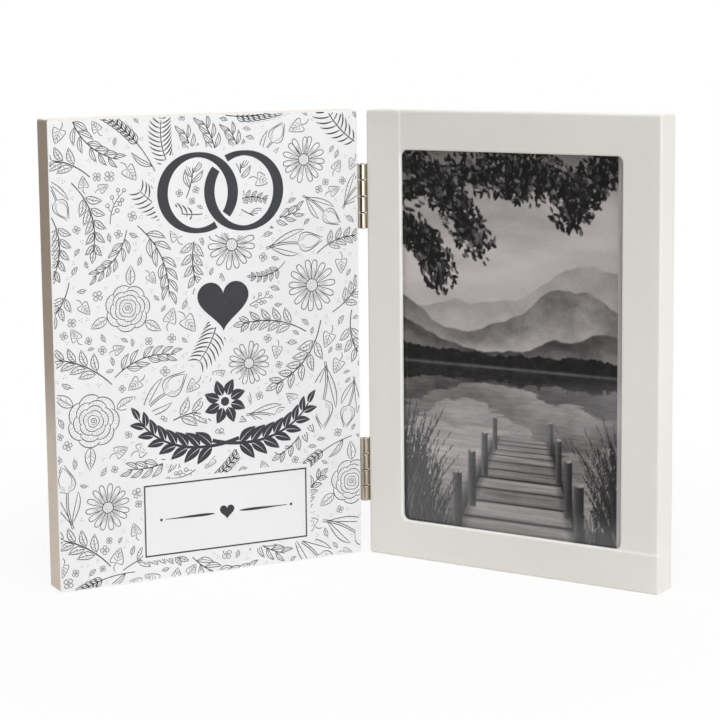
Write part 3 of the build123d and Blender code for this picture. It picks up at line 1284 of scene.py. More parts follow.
class Layout:
    """Scatters the motifs over the sheet, clear of each other and of the ornaments.

    The sizes are in millimetres: the cells of the two grids, the margin round the sheet that the coarse one
    covers, the room kept free round the ornaments, the ruled box and the sheet's edge, how far a motif's
    middle may lie outside the sheet, and the cells to which a motif is thinned for testing.
    """

    cell = 0.5
    fine = 0.4
    margin = 30.0
    clear = 1.9
    box_clear = 1.6
    edge = 0.35
    outside = 6.0
    thinning = 0.8

    def __init__(self, width: float, height: float, ornaments: Ornaments, seed: int) -> None:
        """Takes the sheet's size in millimetres and the shapes to stay clear of.

        Args:
            width: the sheet's width.
            height: its height.
            ornaments: the shapes.
            seed: what the random draws start from.
        """
        self.width, self.height = width, height
        self.rng = np.random.default_rng(seed)
        rows = int((height + 2 * self.margin) / self.cell)
        columns = int((width + 2 * self.margin) / self.cell)
        self.taken = np.zeros((rows, columns), bool)
        self.closed = self.closed_cells(ornaments)
        self.strokes: list[Stroke] = []

    def closed_cells(self, ornaments: Ornaments) -> np.ndarray:
        """Marks the cells on and round the ornaments.

        Args:
            ornaments: the shapes to stay clear of.

        Returns:
            A grid that is true where no stroke may go.
        """
        fine = self.fine
        across, up = np.meshgrid(np.arange(0, self.width, fine), np.arange(0, self.height, fine))
        closed = np.zeros(across.shape, bool)
        for outline in ornaments.large_shapes():
            inside = np.zeros(across.shape, bool)
            for (x0, y0), (x1, y1) in zip(outline, np.roll(outline, -1, axis=0)):
                if y0 != y1:
                    inside ^= ((y0 > up) != (y1 > up)) & (across < (x1 - x0) * (up - y0) / (y1 - y0) + x0)
                steps = max(int(math.hypot(x1 - x0, y1 - y0)), 1)
                for share in range(steps):
                    x, y = x0 + (x1 - x0) * share / steps, y0 + (y1 - y0) * share / steps
                    cols = slice(max(int((x - self.clear) / fine), 0), int((x + self.clear) / fine) + 2)
                    rows = slice(max(int((y - self.clear) / fine), 0), int((y + self.clear) / fine) + 2)
                    near = (across[rows, cols] - x) ** 2 + (up[rows, cols] - y) ** 2 < self.clear**2
                    closed[rows, cols] |= near
            closed |= inside
        left, low, right, high = ornaments.box
        reach = self.box_clear
        beside = (across > left - reach) & (across < right + reach)
        return closed | (beside & (up > low - reach) & (up < high + reach))

    def is_open(self, points: Path) -> np.ndarray:
        """Tells which points are on the sheet and clear of the ornaments.

        Args:
            points: the points to test.

        Returns:
            True or false for each point.
        """
        across, up = points[:, 0], points[:, 1]
        on_sheet = (across > self.edge) & (across < self.width - self.edge)
        on_sheet &= (up > self.edge) & (up < self.height - self.edge)
        column = np.clip((across / self.fine).astype(int), 0, self.closed.shape[1] - 1)
        row = np.clip((up / self.fine).astype(int), 0, self.closed.shape[0] - 1)
        return on_sheet & ~self.closed[row, column]

    def scatter(self, motifs: list[list[Stroke]], tries: int, gap: float, scale: Span, least: float) -> int:
        """Puts down as many motifs as find room.

        Args:
            motifs: the drawings to choose from.
            tries: how many places are tried.
            gap: the room kept free round each.
            scale: the smallest and largest size.
            least: the smallest share of a motif that may show.

        Returns:
            How many were put down.
        """
        reach = int(gap / self.cell)
        up, across = np.mgrid[-reach:reach + 1, -reach:reach + 1]
        round_spot = up**2 + across**2 <= reach**2
        up, across = up[round_spot], across[round_spot]
        prints = [self.footprint(strokes) for strokes in motifs]
        count = 0
        for _ in range(tries):
            number = self.rng.integers(len(motifs))
            turn, size = self.rng.uniform(0, 2 * math.pi), self.rng.uniform(*scale)
            place = self.rng.uniform(-self.outside, np.array([self.width, self.height]) + self.outside)
            points = turned(prints[number] * size, turn) + place
            cells = ((points + self.margin) / self.cell).astype(int)
            cells = np.clip(cells, 0, np.array(self.taken.shape[::-1]) - 1)
            if self.taken[cells[:, 1], cells[:, 0]].any() or self.is_open(points).mean() < least:
                continue
            rows = np.clip(cells[:, 1, None] + up, 0, self.taken.shape[0] - 1)
            columns = np.clip(cells[:, 0, None] + across, 0, self.taken.shape[1] - 1)
            self.taken[rows, columns] = True
            for stroke in motifs[number]:
                path = turned(stroke.points * size, turn) + place
                self.cut(Stroke(path, stroke.widths * size**0.5, stroke.ink))
            count += 1
        return count

    def footprint(self, strokes: list[Stroke]) -> Path:
        """Thins a motif's points to one in each small cell."""
        points = np.concatenate([stroke.points for stroke in strokes])
        return np.unique((points / self.thinning).round().astype(int), axis=0) * self.thinning

    def cut(self, stroke: Stroke) -> None:
        """Keeps the runs of a stroke that lie in the open.

        Args:
            stroke: a stroke in its place on the sheet.
        """
        clear = self.is_open(stroke.points)
        bounds = np.flatnonzero(np.diff(np.concatenate([[False], clear, [False]]).astype(int)))
        for start, end in zip(bounds[::2], bounds[1::2]):
            if end - start > 1:
                self.strokes.append(Stroke(stroke.points[start:end], stroke.widths[start:end], stroke.ink))


@dataclass
class LakePicture:
    """A made-up monochrome view of a lake and its jetty, as tones on a grid of points."""

    columns: int
    rows: int
    seed: int = 11
    shore: float = 0.66
    jetty_half_width: float = 0.27
    jetty_end: float = 0.40
    jetty_middle: float = 0.52

    def __post_init__(self) -> None:
        """Lays out the grid: u runs over the width, and v up in the same unit."""
        self.rng = np.random.default_rng(self.seed)
        self.tall = (self.rows - 1) / (self.columns - 1)
        self.u = np.linspace(0.0, 1.0, self.columns)[None, :] * np.ones((self.rows, 1))
        self.v = np.linspace(0.0, self.tall, self.rows)[:, None] * np.ones((1, self.columns))
        self.tone = np.zeros_like(self.u)

    def noise(self, cell_u: float, cell_v: float, octaves: int = 4) -> Tones:
        """Gives smooth noise.

        Args:
            cell_u: the width of the largest features.
            cell_v: their height.
            octaves: how many finer layers are added, each half the size.

        Returns:
            Values from 0 to 1.
        """
        total, weight = np.zeros_like(self.tone), 0.0
        for octave in range(octaves):
            scale = 0.5**octave
            across, up = self.u / (cell_u * scale), self.v / (cell_v * scale)
            left, low = across.astype(int), up.astype(int)
            part_u, part_v = ease(0, 1, across - left), ease(0, 1, up - low)
            table = self.rng.random((low.max() + 2, left.max() + 2))
            under = table[low, left] * (1 - part_u) + table[low, left + 1] * part_u
            over = table[low + 1, left] * (1 - part_u) + table[low + 1, left + 1] * part_u
            total += scale * (under * (1 - part_v) + over * part_v)
            weight += scale
        return total / weight

    def lay(self, shade: float | Tones, cover: Tones) -> None:
        """Paints a shade through a cover from 0 to 1."""
        self.tone += (shade - self.tone) * np.clip(cover, 0.0, 1.0)

    def dab(self, u: float, v: float, size: Span, turn: float, shade: float,
            slope: float = 0.0, soft: float = 0.4) -> None:
        """Paints one leaf-shaped dab.

        Args:
            u: its place over the width.
            v: its place up.
            size: half its length and width.
            turn: its direction.
            shade: its tone.
            slope: how much lighter one half is.
            soft: how soft its rim is.
        """
        reach = max(size)
        left, right = np.searchsorted(self.u[0], (u - reach, u + reach))
        low, high = np.searchsorted(self.v[:, 0], (v - reach, v + reach))
        if left == right or low == high:
            return
        across, up = self.u[low:high, left:right] - u, self.v[low:high, left:right] - v
        along = (across * np.cos(turn) + up * np.sin(turn)) / size[0]
        aside = (up * np.cos(turn) - across * np.sin(turn)) / size[1]
        mask = np.clip((1 - along**2 - np.abs(aside) ** 1.6) / soft, 0, 1)
        patch = self.tone[low:high, left:right]
        patch += (shade + slope * aside - patch) * mask

    def far_view(self) -> None:
        """Paints the sky, the hills and the wooded far shore."""
        clouds, wisps = self.noise(0.55, 0.20, 5), self.noise(0.30, 0.07, 4)
        self.tone[:] = 0.74 + 0.22 * ease(0.40, 0.75, clouds) + 0.06 * (wisps - 0.5)
        self.tone -= 0.16 * ease(1.0, 1.5, self.v)
        ranges = ((0.98, 0.34, 0.66, 0.52, 0.10), (0.86, 0.22, 0.50, 0.34, 0.16),
                  (0.76, 0.13, 0.36, 0.22, 0.16))
        for crest, height, shade, cell, rough in ranges:
            line = crest + height * (self.noise(cell, 9.0, 5) - 0.5) + 0.05 * np.cos(6 * self.u + crest * 9)
            folds = 0.5 * self.noise(0.12, 0.07, 5) + 0.5 * self.noise(0.05, 0.04, 3)
            haze = 0.26 * ease(line, self.shore, self.v)
            self.lay(shade + rough * (folds - 0.5) * 2 + haze, ease(line + 0.004, line - 0.004, self.v))
        woods = self.shore + 0.035 + 0.05 * self.noise(0.03, 9.0, 3) * (0.4 + self.noise(0.35, 9.0, 2))
        self.lay(0.16 + 0.14 * (self.noise(0.02, 0.02, 3) - 0.4), ease(woods + 0.004, woods - 0.004, self.v))

    def lake(self) -> None:
        """Paints the water: the far view upside down, broken by ripples."""
        near = 1 - self.v / self.shore
        drift = (self.noise(0.22, 0.014, 4) - 0.5) * (0.03 + 0.14 * near)
        step = self.tall / (self.rows - 1)
        mirrored = np.clip(((2 * self.shore - self.v + drift) / step).astype(int), 0, self.rows - 1)
        water = 0.10 + 0.72 * self.tone[mirrored, np.arange(self.columns)[None, :]]
        water += 0.16 * (self.noise(0.07, 0.006, 2) - 0.5) * (0.4 + near) - 0.10 * near
        self.lay(water, ease(self.shore + 0.003, self.shore - 0.003, self.v))
        self.lay(0.62, 0.5 * np.exp(-(((self.v - self.shore) / 0.006) ** 2)))

    def jetty(self) -> None:
        """Paints the jetty's boards in perspective, with its posts."""
        drop = np.clip((self.shore - self.v) / self.shore, 0.02, 1.0)
        middle = self.jetty_middle + 0.05 * (1 - drop)
        side = np.abs(self.u - middle) / (self.jetty_half_width * drop)
        boards = 7.0 / drop
        number = boards.astype(int)
        grain = self.noise(0.16, 0.006, 4)
        plank = self.rng.random(number.max() + 1)[number]
        deck = 0.60 + 0.20 * (plank - 0.5) + 0.26 * (grain - 0.5) - 0.10 * drop
        gap = np.minimum(boards - number, 1 - (boards - number))
        deck *= 1 - 0.80 * ease(0.11, 0.03, gap)
        deck *= 1 - 0.35 * ease(0.80, 1.0, side)
        before_end = ease(self.jetty_end + 0.003, self.jetty_end - 0.003, self.v)
        self.lay(self.tone * 0.35, 0.8 * ease(1.40, 1.0, side) * before_end)
        self.lay(deck, ease(1.03, 0.98, side) * before_end)
        self.lay(0.10, ease(0.05, 0.0, np.abs(side - 1.03)) * before_end)
        for far in (2.45, 1.85, 1.42, 1.12):
            for hand in (-1, 1):
                place = self.jetty_middle + 0.05 * (1 - 1 / far) + hand * self.jetty_half_width * 1.07 / far
                self.post(place, self.shore * (1 - 1 / far), 0.20 / far, 0.024 / far)

    def post(self, middle: float, foot: float, tall: float, half: float) -> None:
        """Paints one round post down into the water.

        Args:
            middle: its place over the width.
            foot: where it meets the water.
            tall: its height above the water.
            half: half its width.
        """
        side = (self.u - middle) / half
        bark = 0.24 - 0.20 * side + 0.12 * (self.noise(0.012, 0.09, 3) - 0.5)
        upright = ease(foot - tall * 0.55, foot - tall * 0.50, self.v)
        upright *= ease(foot + tall + 0.004, foot + tall, self.v)
        self.lay(np.clip(bark, 0.05, 0.6), ease(1.05, 0.90, np.abs(side)) * upright)
        cap = side**2 + ((self.v - foot - tall) / (half * 0.35)) ** 2
        self.lay(0.62 + 0.1 * side, ease(1.1, 0.85, cap))

    def reeds(self, count: int = 620) -> None:
        """Paints the reeds in both near corners.

        Args:
            count: how many are tried.
        """
        for _ in range(count):
            on_left = self.rng.random() < 0.55
            spread = abs(self.rng.normal(0.0, 0.10))
            tall = self.rng.uniform(0.12, 0.46) * (1.15 - spread * 3.2)
            lean = self.rng.normal(0.05 if on_left else -0.05, 0.10)
            shade = self.rng.uniform(0.03, 0.32) + 0.22 * (self.rng.random() < 0.12)
            if tall < 0.05:
                continue
            foot = spread - 0.01 if on_left else 1.01 - spread * 0.8
            for share in np.linspace(0, 1, 14):
                size = (tall * 0.055, 0.0026 + 0.0020 * (1 - share))
                self.dab(foot + 2 * lean * tall * share**1.6, tall * share - 0.02, size,
                         np.pi / 2 - lean * share * 2, shade, soft=0.6)

    def boughs(self) -> None:
        """Paints the overhanging boughs at the top, with their leaves."""
        boughs = ((0.0, 1.30, 0.58, 1.40, 0.012), (0.0, 1.44, 0.36, 1.18, 0.008),
                  (0.10, 1.53, 0.80, 1.36, 0.008), (1.0, 1.46, 0.74, 1.30, 0.008),
                  (0.0, 1.17, 0.20, 1.06, 0.006))
        for u0, v0, u1, v1, thick in boughs:
            for share in np.linspace(0, 1, 160):
                u = u0 + (u1 - u0) * share
                v = v0 + (v1 - v0) * share + 0.05 * np.sin(np.pi * share) - 0.05 * share**2
                twig = (0.008, thick * (1 - 0.8 * share))
                self.dab(u, v, twig, math.atan2(v1 - v0, u1 - u0), 0.07, soft=0.6)
                for _ in range(int(3 + 7 * share)):
                    away = min(abs(self.rng.normal(0.0, 0.034 + 0.016 * share)), 0.075)
                    turn, size = self.rng.uniform(0, 2 * np.pi), self.rng.uniform(0.011, 0.020)
                    light = self.rng.random() ** 2.2
                    spot = (u + away * math.cos(turn), v + away * math.sin(turn) - 0.012)
                    self.dab(*spot, (size, size * 0.42), self.rng.normal(-0.9, 0.6), 0.05 + 0.50 * light,
                             slope=0.05)

    def paint(self) -> Tones:
        """Paints the picture from back to front.

        Returns:
            Tones from 0 to 1, row by row from the bottom.
        """
        self.far_view()
        self.lake()
        self.jetty()
        self.reeds()
        self.boughs()
        self.tone *= 1 - 0.20 * (((self.u - 0.5) / 0.75) ** 2 + ((self.v - self.tall / 2) / 1.10) ** 2)
        self.tone += 0.014 * self.rng.normal(size=self.tone.shape)
        return np.clip(self.tone, 0.02, 0.98)


def linked(name: str, data: bpy.types.ID) -> bpy.types.Object:
    """Puts new data into the scene as an object.

    Args:
        name: the object's name.
        data: its curve, lamp or camera.

    Returns:
        The object.
    """
    obj = bpy.data.objects.new(name, data)
    bpy.context.collection.objects.link(obj)
    return obj


def only(*objects: bpy.types.Object) -> None:
    """Selects these objects alone and makes the first one active.

    Args:
        objects: the objects.
    """
    bpy.ops.object.select_all(action="DESELECT")
    for obj in objects:
        obj.select_set(True)
    bpy.context.view_layer.objects.active = objects[0]


def dress(obj: bpy.types.Object, material: bpy.types.Material) -> None:
    """Gives an object one material all over.

    Args:
        obj: the object.
        material: its material.
    """
    if not obj.material_slots:
        obj.data.materials.append(material)
    for slot in obj.material_slots:
        slot.material = material


def settle(obj: bpy.types.Object, name: str, place: Matrix) -> bpy.types.Object:
    """Names a finished piece and puts its place into its mesh.

    Args:
        obj: the piece, drawn in millimetres at the origin.
        name: the piece's name.
        place: where it goes.

    Returns:
        The piece, unturned and unscaled.
    """
    obj.name = name
    obj.data.name = name
    obj.data.transform(place)
    obj.data.update()
    return obj


@dataclass
class PrintedBoard:
    """The left panel: painted board, printed sheet and the print on it."""

    frame: dict
    effects: Effects
    plane: PanelPlane
    seed: int = 8
    ink_rise_mm: float = 0.05
    ink_sink_mm: float = 0.02
    ink_step_mm: float = 0.0005
    ink_steps: int = 7
    nib: tuple[Span, ...] = ((-0.5, -0.08), (0.5, -0.08), (0.0, 0.12))
    outline_weight: float = 1.80
    shading_weight: float = 1.90
    body: str = "print_panel"
    slot: str = "printed_sheet"

    def finishes(self) -> None:
        """Dresses the board and the sheet."""
        board = self.frame["nodes"]["left_board"]
        low, high = self.plane.extent(board)
        paint = PaintFinish("board_paint_greige", colour(234, 215, 192), colour(229, 210, 187),
                            colour(238, 222, 201), (low / MM, high / MM), gloss=(0.20, 0.27), index=1.6)
        dress(board, paint.mix(self.effects, self.plane))
        dress(self.frame["nodes"]["printed_face"], SheetFinish().mix(self.effects, self.plane))

    def draw(self) -> tuple[list[Stroke], Ornaments, Vector]:
        """Draws the print on the sheet.

        Returns:
            The pen strokes, the ornaments and the sheet's lower corner.
        """
        low, high = self.plane.extent(self.frame["nodes"]["printed_face"])
        ornaments = Ornaments()
        book = MotifBook(np.random.default_rng(self.seed))
        layout = Layout((high.x - low.x) / MM, (high.z - low.z) / MM, ornaments, self.seed)
        blooms = book.pages((book.ranunculus, book.daisy), 3)
        sprigs = book.pages((book.laurel, book.willow), 5)
        sprigs += book.pages((book.fern, book.tulip, book.wheat), 2)
        twigs = book.pages((book.laurel, book.willow), 4)
        twigs += book.pages((book.berries, book.ivy), 2)
        leaves = book.pages((book.laurel, book.floret, book.leaflet, book.ivy), 2)
        fillers = book.pages((book.leaflet, book.dots, book.floret), 2)
        runs = ((blooms, 26, 2.0, (0.85, 1.15), 0.40), (sprigs, 9000, 1.0, (0.80, 1.15), 0.42),
                (twigs, 12000, 1.0, (0.50, 0.80), 0.45), (leaves, 9000, 1.0, (0.45, 0.75), 0.55),
                (fillers, 9000, 1.0, (0.50, 0.80), 0.70))
        for motifs, tries, gap, scale, least in runs:
            LOG.info("print motifs placed: %d", layout.scatter(motifs, tries, gap, scale, least))
        return layout.strokes, ornaments, low

    def line_piece(self, name: str, strokes: list[Stroke], low: Vector, weight: float) -> bpy.types.Object:
        """Makes one piece of all strokes of an ink: swelling lines with a low ridge.

        Args:
            name: the piece's name.
            strokes: the strokes.
            low: the sheet's lower corner.
            weight: how much wider than drawn the strokes are printed.

        Returns:
            The piece.
        """
        nib = bpy.data.curves.new(f"{name}_nib", "CURVE")
        corners = nib.splines.new("POLY")
        corners.points.add(len(self.nib) - 1)
        for point, place in zip(corners.points, self.nib):
            point.co = (*place, 0.0, 1.0)
        corners.use_cyclic_u = True
        nib_object = linked(f"{name}_nib", nib)
        lines = bpy.data.curves.new(name, "CURVE")
        lines.dimensions = "3D"
        lines.twist_mode = "Z_UP"
        lines.bevel_mode = "OBJECT"
        lines.bevel_object = nib_object
        lines.use_fill_caps = True
        for stroke in strokes:
            spline = lines.splines.new("POLY")
            count = len(stroke.points)
            spline.points.add(count - 1)
            places = np.column_stack([stroke.points, np.zeros(count), np.ones(count)])
            spline.points.foreach_set("co", places.ravel())
            spline.points.foreach_set("radius", stroke.widths * weight)
        piece = linked(name, lines)
        only(piece)
        bpy.ops.object.convert(target="MESH")
        bpy.data.objects.remove(nib_object)
        return settle(piece, name, self.plane.face(low))

    def plate_piece(self, name: str, outlines: list[Path], low: Vector) -> bpy.types.Object:
        """Makes one piece of solid shapes: flat plates of ink.

        Args:
            name: the piece's name.
            outlines: the shapes.
            low: the sheet's lower corner.

        Returns:
            The piece.
        """
        plates = []
        for number, outline in enumerate(outlines):
            bpy.ops.object.select_all(action="DESELECT")
            bpy.ops.mesh.primitive_circle_add(vertices=len(outline), radius=1.0, fill_type="NGON")
            plate = bpy.context.object
            ahead = np.roll(outline, -1, axis=0)
            signed = np.sum(outline[:, 0] * ahead[:, 1] - ahead[:, 0] * outline[:, 1])
            path = outline if signed > 0 else outline[::-1]
            order = [plate.data.vertices[index] for index in plate.data.polygons[0].vertices]
            if plate.data.polygons[0].normal.z < 0:
                order.reverse()
            for vertex, spot in zip(order, path):
                vertex.co = (spot[0], spot[1], -self.ink_sink_mm)
            bpy.ops.object.mode_set(mode="EDIT")
            bpy.ops.mesh.select_all(action="SELECT")
            # Plates that overlap end at different heights, so that no two faces coincide.
            rise = self.ink_rise_mm + self.ink_sink_mm + self.ink_step_mm * (number % self.ink_steps)
            bpy.ops.mesh.extrude_region_move(TRANSFORM_OT_translate={"value": (0, 0, rise)})
            bpy.ops.mesh.select_all(action="SELECT")
            bpy.ops.mesh.normals_make_consistent(inside=False)
            bpy.ops.object.mode_set(mode="OBJECT")
            plates.append(plate)
        only(*plates)
        bpy.ops.object.join()
        return settle(plates[0], name, self.plane.face(low))

    def build(self) -> list[bpy.types.Object]:
        """Dresses the panel and makes the print's pieces.

        Returns:
            The new pieces.
        """
        self.finishes()
        strokes, ornaments, low = self.draw()
        inks = (InkFinish("outline_ink", colour(48, 48, 52), colour(66, 66, 70)),
                InkFinish("shading_ink", colour(84, 84, 89), colour(106, 106, 110)),
                InkFinish("charcoal_ink", colour(50, 51, 57), colour(57, 58, 64)))
        outline, shading, solid = (finish.mix(self.effects, self.plane) for finish in inks)
        pieces = []
        lines = ((Ink.OUTLINE, outline, self.outline_weight), (Ink.SHADING, shading, self.shading_weight))
        for ink, material, weight in lines:
            chosen = [stroke for stroke in strokes if stroke.ink is ink]
            pieces.append((self.line_piece(f"print_{ink.value}_lines", chosen, low, weight), material))
        pieces.append((self.plate_piece("print_ornaments", ornaments.large_shapes(), low), solid))
        pieces.append((self.plate_piece("print_ruled_box", ornaments.ruled_box(), low), solid))
        for piece, material in pieces:
            dress(piece, material)
            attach(piece, self.body)
        return [piece for piece, _ in pieces]


@dataclass
class GlazedFrame:
    """The right panel: painted frame, glass, picture and backing."""

    frame: dict
    effects: Effects
    plane: PanelPlane
    columns: int = 249
    rows: int = 373
    darkest: float = 0.02
    lightest: float = 0.86
    tone_ends: Span = (0.05, 0.93)
    tone_lift: float = 0.78
    # The bare paper margin is the print's own paper, toned darker than white paper as painted shade of the
    # frame's lip.
    paper: float = 0.82
    margin_mm: float = 6.4
    lip_cover_mm: float = 3.8
    window_corner_mm: float = 2.6
    gap_mm: float = 0.06
    body: str = "photo_frame"
    slot: str = "photo_paper"

    def finishes(self) -> None:
        """Dresses the frame, the glass and the backing."""
        nodes = self.frame["nodes"]
        low, high = self.plane.extent(nodes["frame_board"])
        behind_lip = self.plane.extent(nodes["photo_print"])[0] / MM
        # The arc places the frame paint's painted highlight along the window's lower and left edges.
        inside = self.lip_cover_mm + self.window_corner_mm
        arc = Vector((behind_lip.x + inside, 0.0, behind_lip.z + inside))
        paint = PaintFinish("frame_paint_white", colour(239, 237, 232), colour(235, 233, 227),
                            colour(228, 222, 212), (low / MM, high / MM), (arc, self.window_corner_mm))
        finishes = {"frame_board": paint, "glass_pane": GlassFinish(), "backing_board": HardboardFinish()}
        for node, finish in finishes.items():
            dress(nodes[node], finish.mix(self.effects, self.plane))

    def picture(self) -> bpy.types.Object:
        """Makes the photo print: a closed sheet whose front points carry the picture.

        Returns:
            The piece, which stands for the plain sheet.
        """
        node = self.frame["nodes"]["photo_print"]
        low, high = self.plane.extent(node)
        low.y += self.gap_mm * MM
        width, thick, height = ((high - low) / MM)[:]
        bpy.ops.object.select_all(action="DESELECT")
        bpy.ops.mesh.primitive_grid_add(x_subdivisions=self.columns - 1, y_subdivisions=self.rows - 1,
                                        size=2.0)
        sheet = bpy.context.object
        points = points_of(sheet)
        points[:, :2] = (points[:, :2] + 1) / 2 * (width, height)
        sheet.data.vertices.foreach_set("co", points.ravel())
        tones = LakePicture(self.columns, self.rows).paint()
        column = np.rint(points[:, 0] / width * (self.columns - 1)).astype(int)
        row = np.rint(points[:, 1] / height * (self.rows - 1)).astype(int)
        tones = ease(*self.tone_ends, tones[row, column]) ** self.tone_lift
        shown = self.darkest + (self.lightest - self.darkest) * tones
        # The bare paper margin at the right, darker than white paper: painted shade of the lip over it.
        shown[points[:, 0] > width - self.margin_mm] = self.paper
        grey = linear(shown)
        finish = PictureFinish()
        paint = sheet.data.color_attributes.new(finish.attribute, "FLOAT_COLOR", "POINT")
        paint.data.foreach_set("color", np.column_stack([grey, grey, grey, np.ones(len(grey))]).ravel())
        bpy.ops.object.mode_set(mode="EDIT")
        bpy.ops.mesh.select_mode(type="EDGE")
        bpy.ops.mesh.select_all(action="DESELECT")
        bpy.ops.mesh.select_non_manifold(extend=False, use_wire=False, use_boundary=True,
                                         use_multi_face=False, use_non_contiguous=False, use_verts=False)
        bpy.ops.mesh.extrude_edges_move(TRANSFORM_OT_translate={"value": (0, 0, -thick)})
        bpy.ops.mesh.edge_face_add()
        bpy.ops.mesh.select_all(action="SELECT")
        bpy.ops.mesh.normals_make_consistent(inside=False)
        bpy.ops.object.mode_set(mode="OBJECT")
        settle(sheet, "lake_photo_print", self.plane.face(low))
        dress(sheet, finish.mix(self.effects, self.plane))
        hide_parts("photo_print")
        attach(sheet, self.body)
        return sheet

    def build(self) -> list[bpy.types.Object]:
        """Dresses the panel and makes the picture."""
        self.finishes()
        return [self.picture()]


@dataclass
class Hardware:
    """The hinges with their pins and screws, and the turn buttons at the back."""

    frame: dict
    effects: Effects
    pins: tuple[str, ...] = ("upper_hinge_pin", "lower_hinge_pin")

    def build(self) -> None:
        """Dresses every piece of metal by its slot in the record."""
        nickel = PlatedFinish("hinge_nickel_polished", colour(200, 189, 170), colour(188, 176, 156),
                              (0.09, 0.15))
        screw = PlatedFinish("screw_nickel_polished", colour(202, 194, 180), colour(190, 181, 166),
                             (0.12, 0.20))
        steel = PlatedFinish("button_zinc", colour(190, 191, 194), colour(174, 176, 180),
                             (0.24, 0.36), grain_mm=0.18, relief_mm=0.008)
        bolt = PlatedFinish("screw_zinc", colour(184, 186, 190), colour(168, 170, 175),
                            (0.20, 0.32), grain_mm=0.10, relief_mm=0.005)
        finishes = {"hinge_nickel": nickel, "screw_nickel": screw, "button_steel": steel, "screw_steel": bolt}
        materials = {slot: finish.mix(self.effects) for slot, finish in finishes.items()}
        for part in self.frame["record"]["subparts"]:
            if part["material_slot"] in materials:
                dress(self.frame["nodes"][part["node"]], materials[part["material_slot"]])
        oiled = PlatedFinish("hinge_pin_oiled", colour(86, 80, 73), colour(70, 64, 58), (0.30, 0.42))
        for node in self.pins:
            dress(self.frame["nodes"][node], oiled.mix(self.effects))


@dataclass(frozen=True)
class Lamp:
    """One soft box, aimed at the middle of the part."""

    name: str
    azimuth: float
    elevation: float
    distance: float
    size: Span
    watts: float

    def hang(self, target: Vector) -> None:
        """Hangs the lamp: azimuth 0 is in front, and grows to the right.

        Args:
            target: where it is aimed.
        """
        data = bpy.data.lights.new(self.name, "AREA")
        data.shape = "RECTANGLE"
        data.size, data.size_y = self.size
        data.energy = self.watts
        lamp = linked(self.name, data)
        turn, rise = math.radians(self.azimuth), math.radians(self.elevation)
        aim = Vector((math.sin(turn) * math.cos(rise), -math.cos(turn) * math.cos(rise), math.sin(rise)))
        lamp.location = target + aim * self.distance
        lamp.rotation_euler = aim.to_track_quat("Z", "Y").to_euler()


